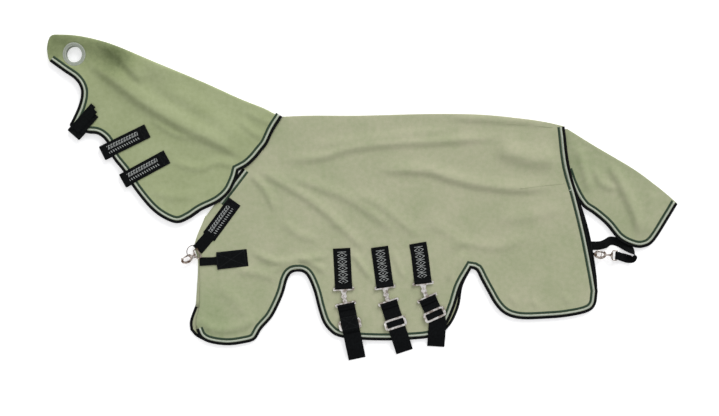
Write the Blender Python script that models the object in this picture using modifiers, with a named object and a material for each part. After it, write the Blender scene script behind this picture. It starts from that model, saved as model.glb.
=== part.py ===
"""A pony's turnout rug with a neck cover and a tail flap, folded in half along its spine.

It lies flat with its left side up: +X runs from the chest to the tail, +Y from the belly to the
spine and +Z up from the floor. Outlines are written in millimetres on the pattern, and on_rug()
turns them into metres. The whole rug hangs on one empty, which centres it over the origin.
"""

import math

import bpy
from mathutils import Matrix, Vector

MM = 0.001
GAP = 0.3 * MM

# Overall sizes, and the size of the pattern that the outlines are drawn on
RUG_LENGTH = 1.822
RUG_HEIGHT = 0.932
PATTERN_LENGTH = 1.822
PATTERN_HEIGHT = 0.932

# Cloth and edging
CLOTH = 1.2 * MM
BINDING_WIDTH = 8.5 * MM
BINDING_THICK = 2.4 * MM
PIPING_WIDTH = 5.5 * MM
TAPE_WIDTH = 6.5 * MM
TRIM_THICK = 0.6 * MM
EDGING = BINDING_WIDTH + PIPING_WIDTH + TAPE_WIDTH + 2 * GAP
EAR_HOLE = (22.5 * MM, 21.5 * MM)
EAR_RIM = 11 * MM
EAR_CLEARANCE = 3.5 * MM

# Webbing
WEB_THICK = 1.6 * MM
BELLY_WEB = 50 * MM
LABEL_WEB = 42 * MM
CHEST_WEB = 34 * MM
NARROW_WEB = 25 * MM
TAB_LENGTH = 116 * MM
THROAT_STRAP = 145 * MM
TAIL_TAB_WEB = 8 * MM

# Metalwork
BAR = 3 * MM
BUCKLE_CLEARANCE = 1.5 * MM
EYE_REACH = 25 * MM
HOOK_REACH = 26 * MM
EYE_RADIUS = 8 * MM
EYE_HOLE = 4.2 * MM
PEG_RADIUS = 2.8 * MM
LOOP_RIM = 4 * MM
LOOP_CORNER = 3 * MM
SLIDER_LENGTH = 30 * MM
SLIDER_RIM = 6 * MM
SLIDER_SIDE = 7 * MM
SNAP_PLATE = 4.5 * MM
TAIL_SNAP_LENGTH = 66 * MM
CHEST_SNAP_LENGTH = 58 * MM
SNAP_HOOK = 36 * MM
SNAP_HALF = 13 * MM
SNAP_RIM = 7 * MM
SNAP_EYE = 30 * MM
SNAP_EYE_LENGTH = 17 * MM
RING_RADIUS = 18 * MM
RING_WIRE = 2.4 * MM
TAIL_RING_RADIUS = 9 * MM
TAIL_RING_WIRE = 3 * MM

# Heights of the layers above the floor
BINDING_PROUD = (BINDING_THICK - CLOTH) / 2
RIGHT_BODY = WEB_THICK + 2 * GAP + TRIM_THICK + BINDING_PROUD / 2
RIGHT_TAIL = RIGHT_BODY + 1.2 * MM
LEFT_TAIL = RIGHT_TAIL + 2.6 * MM
LEFT_BODY = RIGHT_BODY + 4.2 * MM
BODY_TOP = LEFT_BODY + CLOTH
TRIM_TOP = BODY_TOP + GAP + TRIM_THICK
LEFT_NECK = TRIM_TOP + WEB_THICK + BINDING_PROUD + GAP
NECK_TOP = LEFT_NECK + CLOTH
NECK_TRIM_TOP = NECK_TOP + GAP + TRIM_THICK
FOLD_RADIUS = BAR * 0.71 + GAP + WEB_THICK / 2
BUCKLE = BODY_TOP + GAP + WEB_THICK / 2 + FOLD_RADIUS
SLIDER_BAR = BAR * 0.6
STRAP_OVER = TRIM_TOP + 2 * GAP + SLIDER_BAR + WEB_THICK / 2
TAIL_RING_FOLD = TAIL_RING_WIRE / 2 + 1.3 * MM + WEB_THICK / 2
SWIVEL_ROOM = 3.6 * MM
TAIL_BUCKLE = WEB_THICK + 2 * TAIL_RING_FOLD + SWIVEL_ROOM + SNAP_PLATE / 2

# Outlines, anticlockwise from above, in millimetres on the pattern
SPINE = [(586, 201), (528, 214), (458, 224), (342, 235), (197, 237), (-6, 232), (-150, 232), (-230, 229)]
NECKLINE = [(-230, 229), (-262, 183), (-302, 125), (-345, 81), (-380, 35), (-418, -14), (-454, -61)]
CHEST_LEFT = [(-454, -61), (-483, -139), (-471, -194), (-469, -310), (-478, -352), (-480, -386)]
CHEST_RIGHT = [(-454, -61), (-483, -139), (-474, -194), (-480, -310), (-498, -360), (-497, -388)]
FRONT_HEM = [(-480, -386), (-468, -410), (-441, -425), (-391, -432), (-345, -427), (-310, -416)]
FRONT_HEM_RIGHT = [(-497, -388), (-478, -408), (-441, -424), (-391, -430), (-345, -425), (-310, -414)]
FRONT_ARCH = [
    (-290, -385), (-261, -352), (-241, -315), (-226, -279), (-216, -243), (-205, -225), (-188, -219),
    (-168, -223), (-154, -241), (-139, -279), (-128, -322), (-114, -364), (-95, -390),
]
BELLY_HEM = [(-71, -406), (-20, -415), (72, -418), (150, -415), (197, -409)]
BELLY_RISE_LEFT = [(230, -391), (251, -362), (270, -316), (288, -260), (316, -211)]
BELLY_RISE_RIGHT = [(235, -394), (262, -364), (282, -316), (292, -260), (316, -211)]
HIND_HEM = [
    (316, -211), (330, -216), (344, -243), (362, -276), (382, -311), (405, -337), (432, -351),
    (470, -357), (530, -355), (589, -350), (650, -337), (675, -316), (682, -275),
]
REAR = [(682, -275), (673, -220), (654, -122), (638, -54), (622, 9), (605, 65), (595, 116), (586, 201)]
REAR_RIGHT = [(682, -275), (678, -220), (662, -122), (644, -54), *REAR[4:]]
POLL = [(-230, 229), (-249, 235), (-284, 253), (-354, 281), (-458, 328), (-597, 386), (-720, 437)]
POLL_TOP = [(-720, 437), (-806, 460), (-872, 466), (-900, 462), (-910, 432), (-907, 400), (-902, 388)]
FACE = [
    (-902, 388), (-863, 360), (-830, 337), (-814, 314), (-812, 290), (-820, 258), (-836, 222), (-844, 203),
]
THROAT = [
    (-844, 203), (-822, 190), (-793, 181), (-763, 177), (-738, 155), (-722, 112), (-687, 67),
    (-658, 20), (-613, -35), (-574, -65), (-534, -79), (-499, -66), (-464, -43), (-415, -19),
    (-383, 9), (-364, 46), (-356, 72),
]
NECK_SEAM = [(-356, 72), (-331, 86), (-308, 107), (-291, 128), (-273, 151), (-254, 191), (-230, 229)]
TAIL_SPINE = [(913, -23), (880, 6), (845, 34), (783, 79), (670, 146), (593, 194)]
TAIL_ROOT = [(593, 194), (600, 118), (610, 68), (628, 10)]
TAIL_EDGE = [
    (628, 10), (637, -24), (670, -53), (706, -84), (742, -126), (783, -147), (815, -149), (845, -131),
    (887, -66), (913, -23),
]
EAR = (-831, 409)

# The seam between neck and body stands clear of the hinge line that the neck cover folds back on
NECK_HINGE = ((-220, 241), (-345, 96))
NECK_HINGE_OFFSET = 36
RIGHT_NECK_CLEARANCE = 12
TAIL_HINGE = ((586, 200), (622, 9))

# Belly straps: the sewn top and the bottom of each tab, then the strap's bends down to its fold.
# The slider sits at a share of the way from the strap's buckle to its bend, or to the hem
BELLY_STRAPS = [
    {"tab": [(-59, -151), (-53, -265)], "strap": [(-15, -466)], "slider": 0.52},
    {"tab": [(50, -143), (66, -260)], "strap": [(122, -446)], "slider": 0.5},
    {"tab": [(160, -130), (167, -171), (176, -249)], "strap": [(218, -361), (214, -431)], "slider": 0.7},
]

# Throat straps: the middle of the end at the throat, and of the free end
THROAT_LABELS = [[(-749, 124), (-615, 190)], [(-690, 44), (-565, 112)]]
THROAT_BUNCH = [(-833, 178), (-776, 242)]

# Chest straps, from the end at the ring to the sewn end. The second point is where each gets wider
CHEST_TAB = [(-476, -156), (-443, -118), (-368, -16)]
CHEST_PATCH = [(-470, -190), (-420, -188), (-331, -178)]
CHEST_RING = (-489, -161)
CHEST_SNAP = [(-470, -164), (-522, -190)]
CHEST_STRAP_RIGHT = 95 * MM

# Stations of the tail strap: the place on the pattern, and how far the webbing has rolled over
TAIL_STRAP = [
    (640, -143, 0), (682, -144, 0), (703, -139, -12), (720, -130, 0), (743, -134, 0), (765, -147, -10),
    (780, -158, -38), (787, -168, -75), (788, -176, -105), (782, -182, -142), (767, -181, -172),
]
TAIL_SNAP = [(735, -172), (660, -167)]
TAIL_RING = (685, -168)
TAIL_RING_TAB = 55 * MM


def clear_scene():
    for item in list(bpy.data.objects):
        bpy.data.objects.remove(item, do_unlink=True)


def new_collection(name):
    collection = bpy.data.collections.new(name)
    bpy.context.scene.collection.children.link(collection)
    return collection


def new_material(name, colour, roughness, metallic=0.0):
    material = bpy.data.materials.new(name)
    material.use_nodes = True
    shader = material.node_tree.nodes["Principled BSDF"]
    shader.inputs["Base Color"].default_value = (*colour, 1.0)
    shader.inputs["Roughness"].default_value = roughness
    shader.inputs["Metallic"].default_value = metallic
    material.diffuse_color = (*colour, 1.0)
    return material


clear_scene()
rug = new_collection("turnout_rug")
cutters = new_collection("cutters")
cutters.hide_render = True

cloth = new_material("rug_cloth", (0.36, 0.38, 0.24), 0.9)
neck_cloth = new_material("neck_cloth", (0.31, 0.33, 0.2), 0.9)
binding = new_material("edge_binding", (0.008, 0.009, 0.01), 0.8)
piping = new_material("piping", (0.55, 0.6, 0.52), 0.6)
tape = new_material("trim_tape", (0.05, 0.08, 0.055), 0.8)
grey_rim = new_material("ear_rim", (0.5, 0.52, 0.47), 0.8)
webbing = new_material("webbing", (0.008, 0.01, 0.012), 0.75)
steel = new_material("nickel", (0.62, 0.58, 0.54), 0.3, 1.0)


# Points and paths ---------------------------------------------------------------------------


def on_rug(point):
    """A point of the pattern, in metres on the rug."""
    return Vector((point[0] * RUG_LENGTH / PATTERN_LENGTH, point[1] * RUG_HEIGHT / PATTERN_HEIGHT)) * MM


def turn_at(points, i):
    """The angle that a path turns through at its point i."""
    if i <= 0 or i >= len(points) - 1:
        return 0.0
    return abs((points[i] - points[i - 1]).angle_signed(points[i + 1] - points[i], 0.0))


def smooth_run(points, step=math.radians(26)):
    """A Catmull-Rom curve through the points, with more of its own points where it bends."""
    points = [on_rug(point) for point in points]
    padded = [2 * points[0] - points[1], *points, 2 * points[-1] - points[-2]]
    found = []
    for i in range(len(points) - 1):
        a, b, c, d = padded[i : i + 4]
        pieces = 1 + int(max(turn_at(points, i), turn_at(points, i + 1)) / step)
        for k in range(pieces):
            t = k / pieces
            bend = (2 * a - 5 * b + 4 * c - d) * t * t + (3 * b - a - 3 * c + d) * t**3
            found.append((2 * b + (c - a) * t + bend) / 2)
    return [*found, points[-1]]


def joined(*runs):
    """One path from several, each of which starts where the last one ended."""
    path = list(runs[0])
    for run in runs[1:]:
        path += run[1:] if (run[0] - path[-1]).length < 1e-6 else run
    return path


def nearest_on_path(point, path, closed=False):
    """The place on a path that is nearest to a point."""
    places = []
    for i in range(0 if closed else 1, len(path)):
        start, leg = path[i - 1], path[i] - path[i - 1]
        t = min(max((point - start).dot(leg) / leg.length_squared, 0), 1)
        places.append(start + leg * t)
    return min(places, key=lambda place: (place - point).length)


def clear_of(point, edges, rounds=40):
    """The point moved until it's far enough from each edge. edges gives (path, room) for each."""
    for _ in range(rounds):
        for path, room in edges:
            near = nearest_on_path(point, path)
            if (point - near).length < room:
                point = near + (point - near).normalized() * room
    return point


def inside(point, outline):
    """Whether a point is inside a closed outline."""
    crossings = 0
    for i, b in enumerate(outline):
        a = outline[i - 1]
        if (a.y > point.y) != (b.y > point.y):
            crossings += point.x < a.x + (b.x - a.x) * (point.y - a.y) / (b.y - a.y)
    return crossings % 2 == 1


def inset(path, distance, closed=False, before=None, after=None):
    """The path moved to its left with mitred corners, without the points that fold over at a bend.

    before and after are the next points of the edges that the path meets at its two ends.
    """
    whole = [*([before] if before else []), *path, *([after] if after else [])]
    count = len(whole)
    moved = []
    for i, point in enumerate(whole):
        last = whole[i - 1] if closed or i else None
        following = whole[(i + 1) % count] if closed or i < count - 1 else None
        into = (point - last).normalized() if last is not None else (following - point).normalized()
        out = (following - point).normalized() if following is not None else into
        along = (into + out).normalized()
        mitre = min(1 / max(along.dot(into), 0.3), 1.6)
        moved.append(point + Vector((-along.y, along.x)) * distance * mitre)
    start = 1 if before else 0
    own = moved[start : start + len(path)]
    return [p for p in own if (p - nearest_on_path(p, whole, closed)).length > distance * 0.96 - 1e-9]


def band(path, near, far, before=None, after=None):
    """The outline of a strip along a path, from one distance inside it to another, mitred at its ends."""
    lines = []
    for distance in (near, far):
        line = inset(path, distance, before=before, after=after)
        line[0] = line[0] + (path[1] - path[0]).normalized() * GAP
        line[-1] = line[-1] + (path[-2] - path[-1]).normalized() * GAP
        lines.append(line)
    return lines[0] + lines[1][::-1]


def ellipse(centre, radii, count=20):
    angles = [2 * math.pi * k / count for k in range(count)]
    return [centre + Vector((radii[0] * math.cos(a), radii[1] * math.sin(a))) for a in angles]


# Making objects -----------------------------------------------------------------------------


def link(data, name, material):
    item = bpy.data.objects.new(name, data)
    data.materials.append(material)
    rug.objects.link(item)
    return item


def flat_piece(name, outlines, bottom, top, material):
    """A flat piece between two heights. The first outline is its edge and the others are holes."""
    curve = bpy.data.curves.new(name, "CURVE")
    curve.dimensions = "2D"
    curve.fill_mode = "BOTH"
    curve.extrude = (top - bottom) / 2
    for outline in outlines:
        spline = curve.splines.new("POLY")
        spline.points.add(len(outline) - 1)
        for target, point in zip(spline.points, outline):
            target.co = (point.x, point.y, 0, 1)
        spline.use_cyclic_u = True
    item = link(curve, name, material)
    item.location.z = (top + bottom) / 2
    return item


def ribbon(name, stations, thickness, material):
    """A strip of webbing through stations, each a centre and the vector from it to one edge."""
    vertices = []
    for centre, half_width in stations:
        vertices += [centre - half_width, centre + half_width]
    faces = [(2 * i, 2 * i + 1, 2 * i + 3, 2 * i + 2) for i in range(len(stations) - 1)]
    mesh = bpy.data.meshes.new(name)
    mesh.from_pydata(vertices, [], faces)
    item = link(mesh, name, material)
    solidify = item.modifiers.new("thickness", "SOLIDIFY")
    solidify.thickness = thickness
    solidify.offset = 0
    solidify.use_even_offset = True
    return item


def along_plan(plan, distance):
    """The point this far along a plan line, and the line's direction there."""
    left = distance
    for i in range(len(plan) - 1):
        leg = plan[i + 1] - plan[i]
        if left <= leg.length or i == len(plan) - 2:
            return plan[i] + leg.normalized() * left, leg.normalized()
        left -= leg.length


def past_outline(plan, total, half_width, outline):
    """How far along a plan line a strip of this half width has left an outline behind."""
    farthest = 0.0
    for step in range(int(total / MM)):
        point, along = along_plan(plan, step * MM)
        across = Vector((-along.y, along.x)) * half_width
        if inside(point - across, outline) or inside(point + across, outline):
            farthest = step * MM
    return farthest


def plan_ribbon(name, plan, side, width, material):
    """Webbing along a line in plan.

    side gives (distance, height) for each station, or (distance, height, width) where it isn't width.
    """
    near = 6 * MM
    stations = []
    for distance, height, *own_width in side:
        point, _ = along_plan(plan, distance)
        before = along_plan(plan, max(distance - near, 0))[1]
        after = along_plan(plan, distance + near)[1]
        along = (before + after).normalized()
        wide = own_width[0] if own_width else width
        across = Vector((-along.y, along.x, 0)) * wide / 2 / max(along.dot(after), 0.5)
        stations.append((Vector((point.x, point.y, height)), across))
    return ribbon(name, stations, WEB_THICK, material)


def fold_round_bar(height, radius, turned_back, end_height):
    """The side view of webbing that is folded round a bar at distance 0 and sewn back on itself."""
    points = [(turned_back, end_height)]
    for k in range(7):
        angle = math.radians(75 + 33 * k)
        points.append((radius * math.cos(angle), height + radius * math.sin(angle)))
    return points[:-1] + [(radius * 0.15, height - radius)]


def plate_mesh(item):
    """Turns a curve object into a mesh object whose caps are welded, so that a Boolean can use it."""
    evaluated = item.evaluated_get(bpy.context.evaluated_depsgraph_get())
    mesh = bpy.data.meshes.new_from_object(evaluated)
    made = bpy.data.objects.new(item.name + "_mesh", mesh)
    made.matrix_world = item.matrix_world.copy()
    weld = made.modifiers.new("weld", "WELD")
    weld.merge_threshold = 0.00001
    rug.objects.link(made)
    name = item.name
    bpy.data.objects.remove(item, do_unlink=True)
    made.name = name
    return made


def box(name, low, high, material):
    bpy.ops.mesh.primitive_cube_add(size=1, location=(Vector(low) + Vector(high)) / 2)
    item = bpy.context.object
    item.name = name
    item.scale = Vector(high) - Vector(low)
    bpy.ops.object.transform_apply(location=False, rotation=False, scale=True)
    item.data.materials.append(material)
    move_to_collection(item, rug)
    return item


def cylinder(name, centre, radius, depth, sides, material):
    bpy.ops.mesh.primitive_cylinder_add(vertices=sides, radius=radius, depth=depth, location=centre)
    item = bpy.context.object
    item.name = name
    item.data.materials.append(material)
    move_to_collection(item, rug)
    return item


def move_to_collection(item, collection):
    for other in list(item.users_collection):
        other.objects.unlink(item)
    collection.objects.link(item)


def unite(base, others):
    """Joins the other objects to the base with Boolean unions, and removes them."""
    for other in others:
        union = base.modifiers.new("join", "BOOLEAN")
        union.operation = "UNION"
        union.object = other
        move_to_collection(other, cutters)
        other.display_type = "WIRE"
        other.hide_render = True
    bpy.context.view_layer.update()
    mesh = bpy.data.meshes.new_from_object(base.evaluated_get(bpy.context.evaluated_depsgraph_get()))
    base.modifiers.clear()
    base.data = mesh
    for other in others:
        bpy.data.objects.remove(other, do_unlink=True)
    return base


def set_frame(item, origin, angle, height=0.0):
    """Moves an object made round the origin, along +X, to its place and direction on the rug."""
    place = Matrix.Translation((origin.x, origin.y, height)) @ Matrix.Rotation(angle, 4, "Z")
    item.matrix_world = place @ item.matrix_world
    return item


def wire_ring(name, centre, radius, wire, material):
    bpy.ops.mesh.primitive_torus_add(
        location=centre, major_radius=radius, minor_radius=wire / 2, major_segments=24, minor_segments=8
    )
    item = bpy.context.object
    item.name = name
    item.data.materials.append(material)
    move_to_collection(item, rug)
    return item


# The fabric ---------------------------------------------------------------------------------


def trimmed_panel(side, part, outline, edge, corners, bottom, material, holes=()):
    """A cloth panel with its edge binding, tape and piping. The left side's trim faces up."""
    inner = BINDING_WIDTH + GAP
    panel = inset(outline, inner, closed=True)
    flat_piece(f"{part}_{side}", [panel, *holes], bottom, bottom + CLOTH, material)
    rim = band(edge, 0, BINDING_WIDTH, *corners)
    low = bottom - BINDING_PROUD
    flat_piece(f"{part}_binding_{side}", [rim], low, low + BINDING_THICK, binding)
    top = bottom + CLOTH + GAP if side == "left" else bottom - GAP - TRIM_THICK
    tape_start = inner + PIPING_WIDTH + GAP
    if side == "left":
        strip = band(edge, inner, inner + PIPING_WIDTH, *corners)
        flat_piece(f"{part}_piping_{side}", [strip], top, top + TRIM_THICK, piping)
        strip = band(edge, tape_start, tape_start + TAPE_WIDTH, *corners)
        flat_piece(f"{part}_tape_{side}", [strip], top, top + TRIM_THICK, tape)
    else:
        strip = band(edge, inner, tape_start + TAPE_WIDTH, *corners)
        flat_piece(f"{part}_trim_{side}", [strip], top, top + TRIM_THICK, tape)


def seam(name, path, corners, low, high, material):
    flat_piece(name, [band(path, 0, BINDING_WIDTH, *corners)], low, high, material)


def body_outline(side):
    """A body panel's closed outline, its chest edge and the edge that is bound."""
    left = side == "left"
    chest = smooth_run(CHEST_LEFT if left else CHEST_RIGHT)
    front = FRONT_HEM if left else FRONT_HEM_RIGHT
    rise = BELLY_RISE_LEFT if left else BELLY_RISE_RIGHT
    hem = smooth_run([*front, *FRONT_ARCH, *BELLY_HEM, *rise])
    edge = joined(hem, smooth_run(HIND_HEM), smooth_run(REAR if left else REAR_RIGHT))
    return joined(smooth_run(SPINE), smooth_run(NECKLINE), chest, edge)[:-1], chest, edge


def make_body():
    spine, neckline, rear = smooth_run(SPINE), smooth_run(NECKLINE), smooth_run(REAR)
    for side, bottom in (("left", LEFT_BODY), ("right", RIGHT_BODY)):
        outline, chest, edge = body_outline(side)
        trimmed_panel(side, "body", outline, edge, (chest[-2], spine[1]), bottom, cloth)
    seam("spine_seam", spine, (rear[-2], neckline[1]), RIGHT_BODY, BODY_TOP, cloth)
    front = smooth_run(CHEST_LEFT[2:4])
    seam("chest_front_fold", front, (), RIGHT_BODY + CLOTH + GAP, BODY_TOP, cloth)


def neck_outline(side):
    """The neck cover's top, its bound edge and its seam. The right side stops short of the body."""
    top = smooth_run([*POLL, *POLL_TOP[1:]])
    lower = smooth_run([*FACE, *THROAT[1:]])
    seam_line = smooth_run(NECK_SEAM)
    if side == "right":
        clear = RIGHT_NECK_CLEARANCE * MM
        neckline = smooth_run(NECKLINE)[::-1]
        lower = [point for point in lower if point.x < neckline[0].x - clear]
        seam_line = [point - Vector((clear, -clear * 0.6)) for point in neckline]
        seam_line = [point for point in seam_line if point.y < top[0].y - 6 * MM]
        top = [top[0] - Vector((clear, -clear * 0.3)), *top[2:]]
    return top, lower, seam_line


def make_neck():
    rim = EAR_RIM + EAR_HOLE[0] + EAR_CLEARANCE
    edges = [(smooth_run(FACE), EDGING + rim), (smooth_run([*POLL, *POLL_TOP[1:]]), BINDING_WIDTH + rim)]
    centre = clear_of(on_rug(EAR), edges)
    rim_radii = [radius + EAR_RIM for radius in EAR_HOLE]
    cut_radii = [radius + GAP for radius in rim_radii]
    hole = ellipse(centre, cut_radii)
    for side, bottom in (("left", LEFT_NECK), ("right", RIGHT_BODY)):
        top, lower, seam_line = neck_outline(side)
        outline = joined(top, lower, seam_line)
        if (outline[-1] - outline[0]).length < 1e-6:
            outline = outline[:-1]
        edge, last = (joined(lower, seam_line), top[1]) if side == "left" else (lower, seam_line[1])
        trimmed_panel(side, "neck", outline, edge, (top[-2], last), bottom, neck_cloth, [hole])
        low = bottom - BINDING_PROUD
        flat_piece(
            f"ear_rim_{side}", [ellipse(centre, rim_radii), ellipse(centre, EAR_HOLE)],
            low, low + BINDING_THICK, grey_rim,
        )
    top, lower, seam_line = neck_outline("right")
    seam("neck_seam", top, (seam_line[-2], lower[1]), RIGHT_BODY, NECK_TOP, neck_cloth)


def make_tail():
    edge, root = smooth_run(TAIL_EDGE), smooth_run(TAIL_ROOT)
    spine = smooth_run(TAIL_SPINE)
    outline = joined(spine, root, edge)[:-1]
    for side, bottom in (("left", LEFT_TAIL), ("right", RIGHT_TAIL)):
        trimmed_panel(side, "tail", outline, edge, (root[-2], spine[1]), bottom, cloth)
    seam("tail_seam", spine, (edge[-2], root[1]), RIGHT_TAIL, LEFT_TAIL + CLOTH, cloth)


# Belly straps -------------------------------------------------------------------------------


def loop_outlines(bar_side, web):
    """A wide wire loop round a webbing fold at x = 0: its outer edge and its slot."""
    half = web / 2 + BUCKLE_CLEARANCE
    near = FOLD_RADIUS + WEB_THICK / 2 + GAP
    far, side = near + LOOP_RIM, half + LOOP_RIM
    outer = [(-BAR / 2, side), (far, side), (far, -side), (-BAR / 2, -side)]
    slot = [(BAR / 2, half), (near, half), (near, -half), (BAR / 2, -half)]
    return [[Vector((x * bar_side, y)) for x, y in points] for points in (outer, slot)]


def rectangle(half_length, half_width):
    corners = ((-1, 1), (1, 1), (1, -1), (-1, -1))
    return [Vector((x * half_length, y * half_width)) for x, y in corners]


def rounded(points, radius, pieces=3):
    """The polygon with its corners rounded."""
    found = []
    for i, corner in enumerate(points):
        before = (points[i - 1] - corner).normalized() * radius
        after = (points[(i + 1) % len(points)] - corner).normalized() * radius
        for k in range(pieces + 1):
            t = k / pieces
            found.append(corner + before * (1 - t) ** 2 + after * t * t)
    return found


def eye_casting(name, origin, angle):
    """The wide loop on a tab's end, whose neck ends in a round eye."""
    outer, slot = loop_outlines(1, BELLY_WEB)
    rim = outer[1].x
    loop = rounded(outer, LOOP_CORNER)
    upper = [point for point in loop if point.y > 0]
    lower = [point for point in loop if point.y < 0]
    centre = Vector((EYE_REACH, 0))
    opening, pieces = math.radians(140), 12
    arc = []
    for k in range(pieces + 1):
        a = opening - 2 * opening * k / pieces
        arc.append(centre + EYE_RADIUS * Vector((math.cos(a), math.sin(a))))
    neck = EYE_RADIUS + 1 * MM
    outline = upper + [Vector((rim, neck))] + arc + [Vector((rim, -neck))] + lower
    hole = ellipse(centre, (EYE_HOLE, EYE_HOLE), 14)
    plate = flat_piece(name, [outline, slot, hole], -BAR / 2, BAR / 2, steel)
    return set_frame(plate, origin, angle, BUCKLE)


def hook_casting(name, origin, angle):
    """The wide loop on a strap's end. Its finger reaches over the eye and drops a peg into the hole."""
    outer, slot = loop_outlines(-1, BELLY_WEB)
    plate = flat_piece(name, [rounded(outer, LOOP_CORNER), slot], -BAR / 2, BAR / 2, steel)
    plate = plate_mesh(plate)
    plate.location.x += HOOK_REACH
    bpy.context.view_layer.update()
    finger_low = BAR / 2 + GAP
    rim = HOOK_REACH + outer[1].x
    heel = EYE_RADIUS + 2 * GAP
    top = finger_low + BAR
    shank_half, finger_half = 6 * MM, 4.5 * MM
    shank_low, shank_high = (heel, -shank_half, -BAR / 2), (rim + BAR / 2, shank_half, top)
    shank = box(name + "_shank", shank_low, shank_high, steel)
    finger_end = (heel + 1 * MM, finger_half, top)
    finger = box(name + "_finger", (-PEG_RADIUS - 1.2 * MM, -finger_half, finger_low), finger_end, steel)
    peg_low = -BAR / 2
    peg_depth = finger_low + BAR / 2 - peg_low
    peg = cylinder(name + "_peg", (0, 0, peg_low + peg_depth / 2), PEG_RADIUS, peg_depth, 12, steel)
    unite(plate, [shank, finger, peg])
    return set_frame(plate, origin, angle, BUCKLE)


def strap_slider(name, origin, angle):
    """A flat oval frame over the strap, with a bar under it that the webbing turns back on."""
    half = BELLY_WEB / 2 + 0.8 * MM
    outer = rounded(rectangle(SLIDER_LENGTH / 2, half + SLIDER_SIDE), 9 * MM, 4)
    window = rounded(rectangle(SLIDER_LENGTH / 2 - SLIDER_RIM, half), 3 * MM)
    low = WEB_THICK / 2 + GAP
    frame = plate_mesh(flat_piece(name, [outer, window], low, low + BAR, steel))
    drop = -low
    bar_end = half + 3 * MM
    bar_high = (BAR / 2, bar_end, drop)
    bar = box(name + "_bar", (-BAR / 2, -bar_end, drop - SLIDER_BAR), bar_high, steel)
    posts = []
    for near, far in ((half, bar_end), (-bar_end, -half)):
        post_low = (-BAR / 2, near, drop - BAR * 0.3)
        posts.append(box(name + "_post", post_low, (BAR / 2, far, low + BAR / 2), steel))
    unite(frame, [bar, *posts])
    return set_frame(frame, origin, angle, STRAP_OVER)


def make_belly_strap(number, design):
    tab = [on_rug(point) for point in design["tab"]]
    fold_end = on_rug(design["strap"][-1])
    tab_way = (tab[-1] - tab[-2]).normalized()
    bar = tab[-1]
    eye = bar + tab_way * EYE_REACH
    up = [bar, *tab[:-1][::-1]]
    length = TAB_LENGTH
    flat = BODY_TOP + GAP + WEB_THICK / 2
    sewn = fold_round_bar(BUCKLE, FOLD_RADIUS, 11 * MM, flat + WEB_THICK + 2 * GAP)
    sewn.append((30 * MM, flat))
    if len(up) > 2:
        bend = (up[1] - up[0]).length
        sewn += [(bend + step, flat) for step in (-8 * MM, 0, 8 * MM)]
    sewn.append((length, flat))
    plan_ribbon(f"belly_tab_{number}", up, sewn, BELLY_WEB, webbing)
    tab_angle = math.atan2(tab_way.y, tab_way.x)
    eye_casting(f"belly_eye_{number}", bar, tab_angle)

    bends = [on_rug(point) for point in design["strap"]]
    way = (bends[0] - eye).normalized()
    angle = math.atan2(way.y, way.x)
    hook = hook_casting(f"belly_hook_{number}", eye, angle)
    start = eye + way * HOOK_REACH
    plan = [start, *bends]
    total = sum((plan[i + 1] - plan[i]).length for i in range(len(plan) - 1))
    hem_clear = past_outline(plan, total, BELLY_WEB / 2, body_outline("left")[0]) + 2 * MM
    slide_at = design["slider"] * ((plan[1] - plan[0]).length if len(plan) > 2 else hem_clear)
    rest = WEB_THICK + GAP + WEB_THICK / 2
    side = fold_round_bar(BUCKLE, FOLD_RADIUS, 12 * MM, flat + WEB_THICK + 2 * GAP)
    side += [(16 * MM, flat), (slide_at - SLIDER_LENGTH * 0.6, STRAP_OVER), (slide_at, STRAP_OVER)]
    if len(plan) > 2:
        bend = (plan[1] - plan[0]).length
        side += [(bend + step, STRAP_OVER) for step in (-7 * MM, 0, 7 * MM)]
    side += [(hem_clear, STRAP_OVER), (total - 5 * MM, rest + 1.2 * MM), (total, rest)]
    strap = plan_ribbon(f"belly_strap_{number}", plan, side, BELLY_WEB, webbing)
    at, along = along_plan(plan, slide_at)
    slider_item = strap_slider(f"belly_slider_{number}", at, math.atan2(along.y, along.x))

    last = (plan[-1] - plan[-2]).normalized()
    under_plan = [fold_end, fold_end - last * (fold_end - tab[0]).length]
    under = [(0, WEB_THICK / 2), ((fold_end - tab[0]).length * 0.97, WEB_THICK / 2)]
    plan_ribbon(f"belly_strap_under_{number}", under_plan, under, BELLY_WEB, webbing)

    across = Vector((last.y, -last.x, 0))
    pivot = Vector((fold_end.x, fold_end.y, WEB_THICK + GAP / 2))
    lift = joint_empty(f"belly_strap_{number}_lift", pivot, -across)
    slide_axis = Vector((-along.x, -along.y, 0))
    slide = joint_empty(f"belly_slider_{number}_slide", Vector((at.x, at.y, STRAP_OVER)), slide_axis)
    carry(lift, [strap, hook])
    carry(slide, [slider_item])
    carry(lift, [slide])


# Throat and chest ---------------------------------------------------------------------------


def make_throat_strap(number, ends, length=None):
    """A hook-and-loop strap that wraps round the throat's edge and closes on the neck cover."""
    start, end = [on_rug(point) for point in ends]
    way = (end - start).normalized()
    height = NECK_TRIM_TOP + GAP + WEB_THICK / 2
    low = NECK_TRIM_TOP - 1 * MM
    length = length or (end - start).length
    side = [(0, low), (4 * MM, height), (length, height)]
    strap = plan_ribbon(f"throat_strap_{number}", [start, end], side, LABEL_WEB, webbing)
    pivot = Vector((start.x, start.y, low - WEB_THICK / 2 - GAP)) - Vector((way.x, way.y, 0)) * 1.5 * MM
    peel = joint_empty(f"throat_strap_{number}_peel", pivot, Vector((way.y, -way.x, 0)))
    carry(peel, [strap])
    return peel


def chest_strap(name, places, height, narrow, wide):
    """A strap sewn flat on the chest, narrow up to its second place and wide from there on."""
    end, shoulder, sewn = [on_rug(place) for place in places]
    step = (shoulder - end).length
    length = step + (sewn - shoulder).length
    side = [(0, height, narrow), (step - 2 * MM, height, narrow), (step, height), (length, height)]
    return plan_ribbon(name, [end, shoulder, sewn], side, wide, webbing)


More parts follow.
